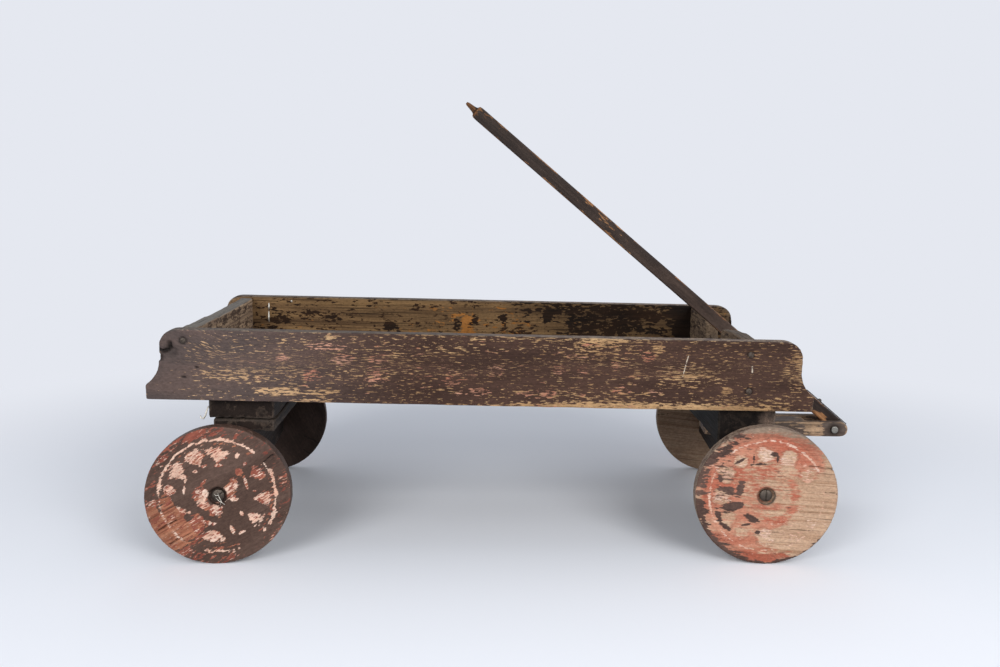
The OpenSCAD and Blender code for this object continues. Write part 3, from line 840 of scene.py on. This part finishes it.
def side_board(node, seed, mirrored):
    """A side board: flaked dark paint outside, worn ochre wood with the last dark paint inside."""
    cell, stretch = (0.0016, 3.0) if mirrored else (0.0014, 2.2)
    solid = sawn_piece(node, cell, stretch, seed, 0.9, 0.9)
    along, up = solid.at[:, 0] * 1000, solid.at[:, 1] * 1000
    outward = 1 if mirrored else -1
    normal = solid.normals()
    outer = rise(normal[:, 2] * outward, -0.2, 0.5)
    inner = rise(-normal[:, 2] * outward, 0.1, 0.6)
    top = rise(normal[:, 1], 0.45, 0.8)
    drift = waves(solid.at, (0.07, 0.02, 0.02), seed + 5)
    from_rear = along - (LEFT_WEAR_SHIFT if mirrored else 0)
    bare, pink = patches(from_rear, up, BARE_PLACES), patches(from_rear, up, PINK_PLACES)
    middle = patch(along, up, 150, 720, 14, 96)
    whole_end = 1 - rise(along, 25, 75)
    outside = (0.19 + 0.03 * drift - 0.8 * bare - 0.4 * pink - 0.02 * middle + 0.1 * whole_end
               - 0.08 * solid.edge)
    inside = inside_paint(solid, along, up, seed)
    solid.fields["paint"] = (outside * (1 - inner) + inside * inner) * (1 - top) + 0.02 * top
    undercoat = -0.2 + pink + 0.08 * middle + 0.06 * drift
    undercoat = undercoat * (1 - inner) + orange_stain(along, up) * inner
    solid.fields["under"] = undercoat * (1 - top) - 0.3 * top
    solid.fields["grey"] = np.clip(0.55 * top + 0.2 * solid.edge, 0, 1)
    solid.fields["board"] = solid.at + (LEFT_BOARD_SHIFT if mirrored else 0.0)
    bleached = 0.42 * (1 - rise(along, 60, 420)) * outer + 0.2 * (1 - rise(along, 60, 330)) * inner
    # The inner face is darker low down by the floor and towards the front corner: painted shade.
    darkening = 0.25 * (1 - rise(up, 8, 34)) + 0.32 * rise(along, 470, 640) + 0.3 * rise(along, 760, 810)
    solid.shade(1 + bleached - inner * darkening)
    # Ahead of the front end board the inner face is out in the light: it is painted lighter there, without the
    # painted shade.
    solid.shade(1 + top * (0.62 * rise(along, 250, 700) - 0.28) + 1.1 * inner * rise(along, 832, 845))
    # A painted sheen on the outer face's rear part and on the top edge.
    solid.fields["dust"] = 0.11 * (1 - rise(along, 100, 400)) * outer + 0.1 * top
    if mirrored:
        bent_nails(solid)
    else:
        # The flecks near the rear screw run down to the front.
        solid.slant[:, 1] = 0.0004 * np.clip(along - 30, 0, 75) * rise(up, 40, 72)
        broken_corner(solid, along, up)
        side_board_screws(solid)
    solid.finish(node + "_worn", "side_paint", [side_outside, side_inside], (inner > 0.5).astype(int), seed)


def inside_paint(solid, along, up, seed):
    """Dark paint left on a side board's inner face: little behind the middle, most of it at the front, where it is
    partly painted shade.
    """
    drift = waves(solid.at, (0.1, 0.03, 0.03), seed + 6)
    # The rise at the front corner is partly dark paint, partly painted shade.
    return (-0.175 + 0.08 * drift + patches(along, up, INSIDE_PLACES) + 0.3 * rise(along, 485, 575)
            + 0.24 * rise(along, 765, 800) + 0.12 * rise(-up, -16, -4))


def orange_stain(along, up):
    """An orange stain on the inner face, with a few specks of it elsewhere."""
    return -0.24 + 0.3 * patch(along, up, 420, 442, 16, 74) + 0.1 * patch(along, up, 330, 540, 10, 100)


def broken_corner(solid, along, up):
    """The chipped hollow beside the rear end's rounded corner, and the notch in the end under it."""
    lump_along, lump_up = 25, 77
    outer_face = rise(-solid.normals()[:, 2], 0.2, 0.7)
    from_lump = np.hypot(along - lump_along, up - lump_up)
    toward = np.degrees(np.arctan2(up - lump_up, along - lump_along))
    hollow = rise(-np.abs(from_lump - 9.5), -3.4, -1.4) * rise(toward, -170, -150) * rise(-toward, -40, -5)
    lump = rise(-from_lump, -7.5, -6)
    chip = rise(1.1 - oval(along, up, 28, 46, 58, 76), 0, 0.5)
    splinter = rise(1.1 - oval(along, up, 13, 27, 53, 66), 0, 0.6)
    solid.carve((0.006 * hollow + 0.002 * chip + 0.003 * splinter) * np.maximum(outer_face, 0.6 * splinter))
    # The hollow, chip and splinter are painted darker: painted shade in them.
    solid.shade((1 - 0.8 * hollow) * (1 - 0.3 * chip) * (1 - 0.5 * splinter))
    solid.fields["paint"] += 0.25 * chip + 0.3 * lump
    # Round each screw head a shallow groove is carved and painted dark: the head's painted shadow.
    for _, u, v, radius, *_ in SIDE_SCREWS:
        away = np.hypot(along - u, up - v) / 1000
        ring = rise(-np.abs(away - radius - 0.0006), -0.0022, -0.0006) * outer_face
        solid.carve(0.0008 * ring)
        solid.shade(1 - 0.6 * ring)
    # The nail holes are painted dark: painted shade inside them.
    for u, v in NAIL_HOLES:
        hole = rise(-np.hypot((along - u) * 0.75, up - v), -2.6, -1.1)
        solid.carve(0.002 * hole * outer_face)
        solid.shade(1 - 0.85 * hole * outer_face)


def end_board(node, seed, top_grey, top_wear, brighter):
    """An end board: its top edge greyed and worn, its faces brighter than a floor board's."""
    solid = sawn_piece(node, 0.0016, 2.6, seed, 0.9, 0.9)
    up = solid.at[:, 1] * 1000
    top = rise(solid.normals()[:, 1], 0.4, 0.8)
    drift = waves(solid.at, (0.05, 0.02, 0.02), seed + 5)
    # Darker towards the bottom, where more paint is laid.
    darkening = 0.14 * rise(-up, -40, -5)
    solid.fields["paint"] = -0.03 + 0.09 * drift - 0.15 * solid.edge - top_wear * top + darkening
    solid.fields["grey"] = np.clip(0.12 + top_grey * top, 0, 1)
    solid.shade(1 + brighter * (1 - top))
    solid.finish(node + "_worn", "box_wood", [box_boards], seed=seed)


# ---------------------------------------------------------------- wheels

def turned(x, y, degrees):
    """Coordinates along and across a direction at that angle."""
    a = math.radians(degrees)
    return math.cos(a) * x + math.sin(a) * y, -math.sin(a) * x + math.cos(a) * y


def wheel_frame(body, grain_angle):
    """A wheel's grain frame, seen from outside: its centre, and axes along the grain, across and outwards."""
    joint = JOINTS[body]
    centre, axle = np.array(joint["pos_m"]), np.array(joint["axis"])
    outward = axle * np.sign(centre[1]) * np.sign(axle[1])
    right = np.cross(UP, outward)
    right /= np.linalg.norm(right)
    return centre, np.array([*turned(right, UP, grain_angle), outward])


def wheel(end, side, grain_angle, seed, cell, swollen=(1.0, 1.0)):
    """A disc wheel. swollen is how much longer it has become along the grain, and narrower across it."""
    node = f"wheel_{end}_{side}"
    look, finish, slot = WHEEL_STYLES[end]
    solid = Solid(NODES[node], cell, 1.0, wheel_frame(f"{end}_{side}_wheel", grain_angle), rounding=3)
    low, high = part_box(node)
    radius = (high.z - low.z) / 2
    solid.round_edges(0.35, 0.6, (0.02, 0.005, 0.005), seed)
    solid.at[:, :2] *= swollen
    x, y = turned(solid.at[:, 0] / radius, solid.at[:, 1] / radius, -grain_angle)
    grooves = 1 - np.abs(waves(solid.at, (0.1, 0.0035, 0.0035), seed + 1, 3))
    solid.carve(0.0002 * grooves**3 + 0.0001 * (1 + waves(solid.at, (0.05,) * 3, seed + 2, 2)))
    normal = solid.normals()
    outer, inner = rise(normal[:, 2], 0.3, 0.7), rise(-normal[:, 2], 0.3, 0.7)
    solid.fields["tone"] = 1 + 0.08 * waves(solid.at, (0.05,) * 3, seed + 3)
    solid.fields["grey"] = np.zeros(len(solid.at))
    look(solid, x, y, outer, inner, seed)
    # The hub's recess is painted darker: painted shade.
    recess = rise(-np.hypot(x, y), -0.15, -0.11) * (outer + (1 - outer) * (1 - inner))
    solid.shade(1 - 0.55 * recess)
    solid.finish(node + "_worn", slot, [finish], seed=seed)


def worn_through(field, distance, strength=0.5):
    """Takes a coat away inside distance 1, with its rim at half cover."""
    return np.minimum(field, (distance - 1) * strength)


def crack(solid, x, y, start, end, width, depth):
    """A split along a line between two points of the face, in wheel radii."""
    line = np.array(end) - np.array(start)
    reach = np.hypot(*line)
    along = ((x - start[0]) * line[0] + (y - start[1]) * line[1]) / reach
    aside = ((x - start[0]) * -line[1] + (y - start[1]) * line[0]) / reach
    aside = aside + 0.006 * np.sin(along * 31)
    taper = np.clip(along / reach, 0, 1)
    inside = rise(-np.abs(along / reach - 0.5), -0.52, -0.46)
    near = np.clip(1 - np.abs(aside) / (width * (1.15 - 0.75 * taper)), 0, 1) * inside
    outer_face = rise(solid.normals()[:, 2], 0.0, 0.5)
    solid.carve(depth * near * np.maximum(outer_face, 0.4))
    # The split is painted dark: painted shade in the crack.
    solid.shade(1 - 0.8 * rise(near, 0.1, 0.7))


# Petals of the rear wheel's old stencil: angle, distance from the centre, half width, half length and how
# much of its cream is left, in degrees and wheel radii.
PETALS = [(88, 0.60, 0.13, 0.10, 0.1), (117, 0.62, 0.115, 0.11, 0.04), (147, 0.645, 0.115, 0.12, 0.12),
          (173, 0.66, 0.065, 0.085, 0.06), (204, 0.60, 0.12, 0.14, -0.02), (232, 0.60, 0.15, 0.16, -0.12),
          (262, 0.575, 0.12, 0.085, 0.08), (291, 0.53, 0.028, 0.08, 0.12), (301, 0.62, 0.05, 0.022, 0.12),
          (328, 0.60, 0.085, 0.105, 0.12), (357, 0.62, 0.08, 0.11, 0.06), (30, 0.64, 0.09, 0.09, -0.08),
          (63, 0.65, 0.032, 0.045, 0.12), (50, 0.61, 0.018, 0.03, 0.0), (8, 0.52, 0.016, 0.03, 0.0)]
# Bare places round the hub and between the petals: x, y, half sizes along and across the lean, the lean in
# degrees, and the cream left.
HUB_PLACES = [(-0.23, 0.0, 0.14, 0.09, 100, -0.06), (-0.20, -0.13, 0.1, 0.07, 150, -0.02),
              (-0.03, -0.2, 0.09, 0.09, 0, 0.04), (0.20, 0.10, 0.16, 0.075, 65, -0.06),
              (0.14, 0.12, 0.08, 0.03, 30, 0.08), (0.23, -0.05, 0.06, 0.03, 10, 0.06),
              (-0.16, 0.04, 0.04, 0.05, 20, 0.16), (-0.19, 0.20, 0.07, 0.02, 45, -0.06),
              (0.30, 0.35, 0.04, 0.05, 20, -0.16), (0.40, 0.19, 0.02, 0.09, 15, -0.04),
              (0.33, -0.26, 0.02, 0.03, 30, 0.1), (-0.30, 0.36, 0.03, 0.025, 20, 0.06),
              (-0.14, -0.39, 0.13, 0.03, -10, -0.02), (-0.28, -0.38, 0.09, 0.12, 40, -0.16),
              (0.03, 0.45, 0.05, 0.02, 0, 0.08), (-0.17, 0.44, 0.05, 0.018, 20, 0.08),
              (-0.44, 0.22, 0.02, 0.04, -20, 0.1), (-0.46, 0.1, 0.018, 0.07, -6, 0.1),
              (-0.4, -0.24, 0.03, 0.025, 20, 0.1)]


# The rear wheel's thin worn ring and the faint one inside it, in wheel radii
RING_RADIUS, RING_HALF_WIDTH, FAINT_RING_RADIUS = 0.817, 0.0215, 0.765
# Where the rings are missing and where the rim is redder: from and to in degrees, from and to in wheel radii,
# and how much
RING_GAPS = [(37, 48, 0.6, 1.0, 1.1), (196, 252, 0.6, 1.0, 1.0), (292, 318, 0.6, 1.0, 1.0)]
REDDENED = [(85, 155, 0.7, 1.15, 2.3), (235, 285, 0.7, 1.15, 1.4)]


def rear_wheel_look(solid, x, y, outer, inner, seed):
    """Dark paint over cream and red, gone in petals, a thin ring, round the hub and at one split side."""
    r, angle = np.hypot(x, y), np.degrees(np.arctan2(y, x)) % 360
    ragged = 0.5 * waves(solid.at, (0.013, 0.007, 0.007), seed + 6, 3)
    paint = np.full(len(x), 0.29)
    cream = np.full(len(x), -0.2)
    under = -0.02 + 0.08 * waves(solid.at, (0.05, 0.02, 0.02), seed + 7)
    shapes = []
    for direction, reach, half_width, half_length, left in PETALS:
        out, side = turned(x, y, direction)
        narrowing = np.clip(1 + 0.6 * (out - reach) / half_length, 0.35, 1.35)
        shapes.append((np.hypot((out - reach) / half_length, side / (half_width * narrowing)), left, 0.08))
    for at_x, at_y, half_x, half_y, lean, left in HUB_PLACES:
        u, v = turned(x - at_x, y - at_y, lean)
        shapes.append((np.hypot(u / half_x, v / half_y), left, 0.06))
    for distance, cream_left, red_left in shapes:
        d = distance + ragged
        paint = worn_through(paint, d)
        cream = np.maximum(cream, cream_left - 0.3 * rise(d, 0.9, 1.4))
        under = np.maximum(under, red_left - 0.2 * rise(d, 1.0, 1.5))
    gaps = patches(angle, r, RING_GAPS)
    broken = waves(solid.at, (0.009, 0.009, 0.009), seed + 9, 2)
    ring = (np.abs(r - RING_RADIUS + 0.016 * broken) / RING_HALF_WIDTH + 3 * gaps + ragged
            + 0.9 * rise(broken, 0.0, 0.4))
    paint = worn_through(paint, ring, 0.22)
    cream = np.maximum(cream, 0.16 - 0.36 * rise(ring, 1.0, 2.0))
    faint = np.abs(r - FAINT_RING_RADIUS) / 0.02 + 2 * gaps + 2 * ragged
    paint = np.minimum(paint, 0.05 + 0.23 * rise(faint, 0.5, 1.5))
    out, side = turned(x, y, 214)
    split_side = np.maximum(np.abs(side + 0.03) / 0.34, (0.56 - out) / 0.06 + 1) + 0.9 * ragged
    paint = worn_through(paint, split_side)
    split = split_side < 1.05
    cream = np.where(split, -0.22 + 0.2 * (np.abs(r - RING_RADIUS) < 0.02), cream)
    under = np.where(split, -0.1 + 0.12 * waves(solid.at, (0.05, 0.006, 0.006), seed + 11), under)
    band = rise(r, 0.845, 0.885)
    streaks = waves(solid.at, (0.03, 0.004, 0.004), seed + 8, 3)
    reddened = patches(angle, r, REDDENED)
    paint -= band * (0.16 + 0.12 * streaks + 0.07 * reddened)
    under += band * 0.3 * ~split
    paint = np.where(outer > 0.1, paint, 0.16 - 0.2 * solid.edge)
    solid.fields.update(
        paint=np.where(inner > 0.3, 0.3 - 0.2 * solid.edge, paint),
        cream=np.where(outer > 0.1, cream, -0.5),
        under=np.where(outer > 0.1, under, -0.3))
    solid.fields["grey"] = np.where(outer > 0.5, 0.0, 0.6) * (1 - inner) + 0.5 * solid.edge
    # The inner face is painted darker, painted shade under the wagon, and the rim's rounded edge lighter, a
    # painted highlight.
    solid.shade((1 - 0.6 * inner) * (1 + 0.25 * solid.edge * rise(r, 0.93, 0.99)) * (1 - 0.12 * band))
    solid.shade(1 - 0.12 * split)
    for start, end in [((-0.86, -0.50), (-0.56, -0.33)), ((-0.70, -0.70), (-0.57, -0.62)),
                       ((0.80, 0.60), (0.62, 0.48))]:
        crack(solid, x, y, start, end, 0.014, 0.004)


# What is left of the front wheel's dark paint besides its rim: x, y, half sizes along and across the lean.
DARK_PLACES = [(-0.47, -0.16, 0.15, 0.06, 12), (-0.21, -0.31, 0.115, 0.05, -32),
               (-0.37, 0.1, 0.055, 0.1, -12), (-0.56, 0.09, 0.12, 0.05, -8), (-0.66, -0.3, 0.09, 0.045, -65),
               (-0.10, 0.465, 0.17, 0.02, 6), (0.08, 0.61, 0.055, 0.045, 0),
               (-0.58, -0.44, 0.13, 0.035, -40), (-0.2, 0.55, 0.02, 0.1, 0), (-0.1, -0.53, 0.035, 0.03, 20),
               (0.32, -0.16, 0.07, 0.014, 0), (-0.40, 0.5, 0.09, 0.02, 30), (-0.28, -0.42, 0.07, 0.02, 10),
               (-0.85, 0.22, 0.05, 0.05, 0), (-0.66, 0.25, 0.03, 0.06, 10), (0.13, 0.56, 0.015, 0.08, 0),
               (-0.36, -0.13, 0.05, 0.04, 0)]
# The front wheel's petals: angle, distance, half size and the cream left.
PALE_PETALS = [(30, 0.645, 0.12, -0.1), (62, 0.62, 0.12, -0.06), (95, 0.60, 0.13, -0.02),
               (127, 0.63, 0.09, -0.08), (152, 0.66, 0.12, -0.06), (180, 0.63, 0.12, -0.02),
               (212, 0.63, 0.115, -0.16), (240, 0.64, 0.09, -0.2), (270, 0.60, 0.13, -0.02),
               (300, 0.62, 0.11, -0.1)]


# The front wheel's cream ring and the dark outline round it, in wheel radii
FRONT_RING_RADIUS, OUTLINE_RADIUS = 0.80, 0.865
# Where that ring is left: from and to in degrees, from and to in wheel radii, and how much
RING_LEFT = [(26, 76, 0.6, 1.0, 1.0), (160, 200, 0.6, 1.0, 0.8), (80, 155, 0.6, 1.0, 0.5),
             (200, 350, 0.6, 1.0, 0.3)]
# Where its red is brightest: from and to in x, from and to in y, and how much
VIVID_PLACES = [(0.25, 0.85, 0.35, 0.85, 1.0), (-0.75, -0.3, 0.2, 0.7, 0.8), (-0.3, 0.3, 0.68, 0.86, 0.6)]


def front_wheel_look(solid, x, y, outer, inner, seed):
    """Mostly bare wood, with red rings, cream left in the petals, and dark paint at one side of the rim."""
    r, angle = np.hypot(x, y), np.degrees(np.arctan2(y, x)) % 360
    ragged = 0.42 * waves(solid.at, (0.014, 0.006, 0.006), seed + 6, 3)
    streaky = waves(solid.at, (0.05, 0.005, 0.005), seed + 7, 3)
    under = -0.16 + 0.1 * waves(solid.at, (0.03, 0.01, 0.01), seed + 5) + 0.1 * streaky
    upper = rise(-np.abs(r - 0.73), -0.24, -0.12) * rise(angle, 8, 30) * rise(-angle, -190, -150)
    vivid = patches(x, y, VIVID_PLACES)
    left = rise(-np.abs(r - 0.7), -0.27, -0.15) * rise(-x, 0.05, 0.4) * rise(y, -0.6, -0.2)
    low = rise(-np.abs(r - 0.92), -0.09, -0.03) * rise(-y, 0.45, 0.75) * rise(-x, -0.6, -0.2)
    low_left = patch(x, y, -0.85, -0.05, -0.95, -0.45)
    hub_ring = 0.75 * rise(-np.abs(r - 0.41), -0.1, -0.03) * (1 - 0.5 * patch(angle, r, 30, 150, 0.2, 0.6))
    below_hub = patch(x, y, -0.2, 0.35, -0.52, -0.3)
    under += 0.26 * upper + 0.2 * vivid * rise(r, 0.5, 0.6) + 0.22 * left + 0.3 * low + 0.16 * low_left
    under += 0.3 * hub_ring + 0.02 * below_hub + 0.08 * rise(-r, -0.36, -0.3) * rise(-x, -0.1, 0.2)
    under += 0.11 * rise(-x, -0.45, 0.05)
    bare_side = rise(x + 0.2 * ragged, 0.5, 0.66) * (1 - patch(x, y, 0.35, 0.9, 0.25, 0.85))
    bare_side = np.maximum(bare_side, patch(x, y, 0.15, 0.95, -0.85, -0.4))
    under -= 0.3 * bare_side
    chalk = 0.12 * patch(x, y, 0.1, 0.75, -0.7, -0.2) + 0.05 * patch(x, y, -0.9, -0.35, -0.3, 0.65)
    cream = -0.29 + chalk + 0.04 * streaky
    outlines = rise(-np.abs(r - OUTLINE_RADIUS - 0.01 * streaky), -0.022, -0.006)
    for direction, reach, size, left_over in PALE_PETALS:
        out, side = turned(x, y, direction)
        d = np.hypot((out - reach) / size, side / size) + ragged
        under = np.minimum(under, np.maximum((d - 0.9) * 0.6, -0.14))
        cream = np.maximum(cream, left_over - 0.3 * rise(d, 0.7, 1.2))
        outlines = np.maximum(outlines, rise(-np.abs(d - 1.1), -0.16, -0.05))
    broken = waves(solid.at, (0.008, 0.008, 0.008), seed + 9, 2)
    ring_there = patches(angle, r, RING_LEFT)
    ring = np.abs(r - FRONT_RING_RADIUS + 0.01 * broken) + 0.012 * ragged
    ring_cream = 0.3 * ring_there - 0.12 - 0.16 * rise(broken, 0, 0.5) - 0.4 * rise(ring, 0.008, 0.022)
    cream = np.maximum(cream, ring_cream)
    paint = -0.36 + 0.13 * left + 0.1 * upper + 0.14 * low
    dark_side = rise(-np.abs(angle - 178), -92, -52)
    rim_width = 0.045 + 0.075 * rise(-np.abs(angle - 160), -80, -35)
    rim_width += 0.04 * patch(angle, r, 85, 140, 0.5, 1.2)
    rim = rise(r + 0.16 * ragged + 0.05 * streaky - (1.0 - rim_width), -0.04, 0.05)
    paint += 0.46 * rim * dark_side + 0.3 * streaky * rim
    low_rim = rise(r + 0.1 * ragged, 0.94, 0.99) * rise(-y, 0.3, 0.6)
    paint += 0.44 * low_rim * (1 - dark_side) + 0.17 * low_left + 0.12 * patch(x, y, -0.1, 0.5, -1.0, -0.82)
    for at_x, at_y, half_x, half_y, lean in DARK_PLACES:
        u, v = turned(x - at_x, y - at_y, lean)
        d = 1.12 * np.hypot(u / half_x, v / half_y) + 1.3 * ragged
        paint = np.maximum(paint, np.minimum(0.25, (1 - d) * 0.5))
    paint += 0.17 * patch(x, y, -0.3, 0.35, 0.22, 0.42) + 0.1 * patch(x, y, -0.8, -0.3, -0.4, 0.3)
    solid.fields.update(
        paint=np.where(outer > 0.1, paint, -0.05 - 0.2 * solid.edge) - 0.3 * inner,
        cream=np.where(outer > 0.1, cream, -0.5),
        under=np.where(outer > 0.1, under, -0.5))
    grey_top = rise(r + 0.1 * ragged, 0.82, 0.9) * rise(-np.abs(angle - 85), -55, -30) * outer
    grey_sides = np.where(outer > 0.5, 0.0, 0.55) + 0.3 * solid.edge
    solid.fields["grey"] = grey_sides * (1 - inner) + 0.4 * grey_top
    hub_stain = rise(-r, -0.3, -0.2) * rise(r, 0.1, 0.14)
    # The inner face is painted darker: painted shade under the wagon.
    solid.shade((1 - 0.5 * inner) * (1 - 0.06 * hub_stain) * (1 - 0.28 * grey_top) * (1 - 0.12 * low))
    solid.shade(1 - 0.16 * outlines * outer * (1 - bare_side))
    crack(solid, x, y, (0.93, 0.40), (0.55, 0.46), 0.012, 0.003)
    crack(solid, x, y, (0.985, 0.05), (0.8, 0.08), 0.008, 0.002)


# ---------------------------------------------------------------- build

WHEEL_STYLES = {"rear": (rear_wheel_look, rear_wheel_finish, "rear_wheel_paint"),
                "front": (front_wheel_look, front_wheel_finish, "front_wheel_paint")}
bpy.context.scene.view_settings.view_transform = "Standard"
make_camera()
make_world()
make_floor()
for name, place, size, power in [
        ("low_left", (-1.4, -2.8, 1.4), 1.5, 54), ("low_right", (1.4, -2.8, 1.4), 1.5, 56),
        ("high_right", (1.8, -2.0, 2.3), 1.5, 13), ("overhead", (0.0, 0.2, 2.8), 2.4, 8),
        ("high_back", (0.0, 2.4, 2.4), 2.0, 8)]:
    make_lamp(name, place, size, power)

side_board("right_side_board", 11, mirrored=False)
side_board("left_side_board", 23, mirrored=True)
end_board("front_end_board", 31, 0.15, 0.05, 0.75)
end_board("rear_end_board", 43, 0.8, 0.3, 2.1)
for number in range(1, 6):
    plain_piece(f"floor_board_{number}", "box_wood", box_boards, 0.0024, 3.0, 50 + number, 0.06, 0.3)
# The spot at the front bolster's near front corner is painted light, laid on bare wood.
low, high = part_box("front_bolster")
front_corner = (high.x, low.y, high.z - 0.02)
# Tones below 1 darken the under-frame pieces as painted shade under the box; the front bolster's is the box's
# painted shadow.
for number, (node, tone, spots) in enumerate([
        ("rear_bolster", 0.8, ()), ("rear_spacer_board", 0.95, ()), ("rear_axle_beam", 0.9, ()),
        ("front_bolster", 0.36, [(front_corner, 0.024, -0.45, 6.0)]), ("front_axle_beam", 0.8, ())]):
    plain_piece(node, "under_wood", under_boards, 0.0018, 2.6, 70 + number, 0.1, 0.1, tone, spots)
# The first spot darkens a disc round the bolt's end: a painted shadow of the bolt.
for number, node in enumerate(["hound_right", "hound_left", "hound_filler_block"]):
    plain_piece(node, "hound_wood", gear_wood, 0.0011, 2.2, 80 + number, 0.1, 0.15, 1.0, [
        (BOLT_END, 0.0105, 0.25, -0.6), (BOLT_END, 0.02, 0.16, 0.0),
        (BOLT_END - LEVEL * 0.026, 0.012, -0.26, 0.15), (BOLT_END - LEVEL * 0.11, 0.04, 0.16, -0.2)])
# The tongue's spots: distance from its bolt, radius, how much paint they add, how much lighter they are
tongue_spots = [
    (0.026, 0.017, -0.45, 0.6), (0.2, 0.03, -0.12, 0.25), (0.745, 0.013, -0.35, -0.4),
    (0.16, 0.22, 0.0, 0.55), (0.335, 0.07, 0.12, 0.0), (0.461, 0.019, -0.15, -0.25),
    (0.48, 0.16, 0.0, 0.35), (0.72, 0.1, 0.0, -0.1)]
plain_piece("tongue_bar", "tongue_wood", tongue_finish, 0.0012, 2.6, 91, 0.19, 0.0, 1.0,
            [(BOLT + ALONG_TONGUE * reach, *spot) for reach, *spot in tongue_spots], 0.25)

wheel("rear", "right", 30, 101, 0.0013, (1.037, 0.9875))
wheel("front", "right", -3, 113, 0.0013)
wheel("rear", "left", 64, 127, 0.0018)
wheel("front", "left", 6, 139, 0.0018)

for slot, material, nodes in [
        ("dark_iron", dark_iron, ["king_bolt", "king_nut", "tongue_strap"]),
        ("rusty_iron", rusty_iron, ["rear_washer_right", "rear_washer_left", "front_washer_right",
                                    "front_washer_left", "upper_wear_plate", "lower_wear_plate"]),
        ("worn_steel", worn_steel, ["tongue_bolt"])]:
    for node in nodes:
        iron_piece(node, slot, material)

for end, side, slot_turn in [("rear", "right", 35), ("rear", "left", 70), ("front", "right", 88),
                             ("front", "left", 15)]:
    axle_screw(f"{end}_axle_screw_{side}", f"{end}_{side}_wheel", slot_turn)
loose_hardware()
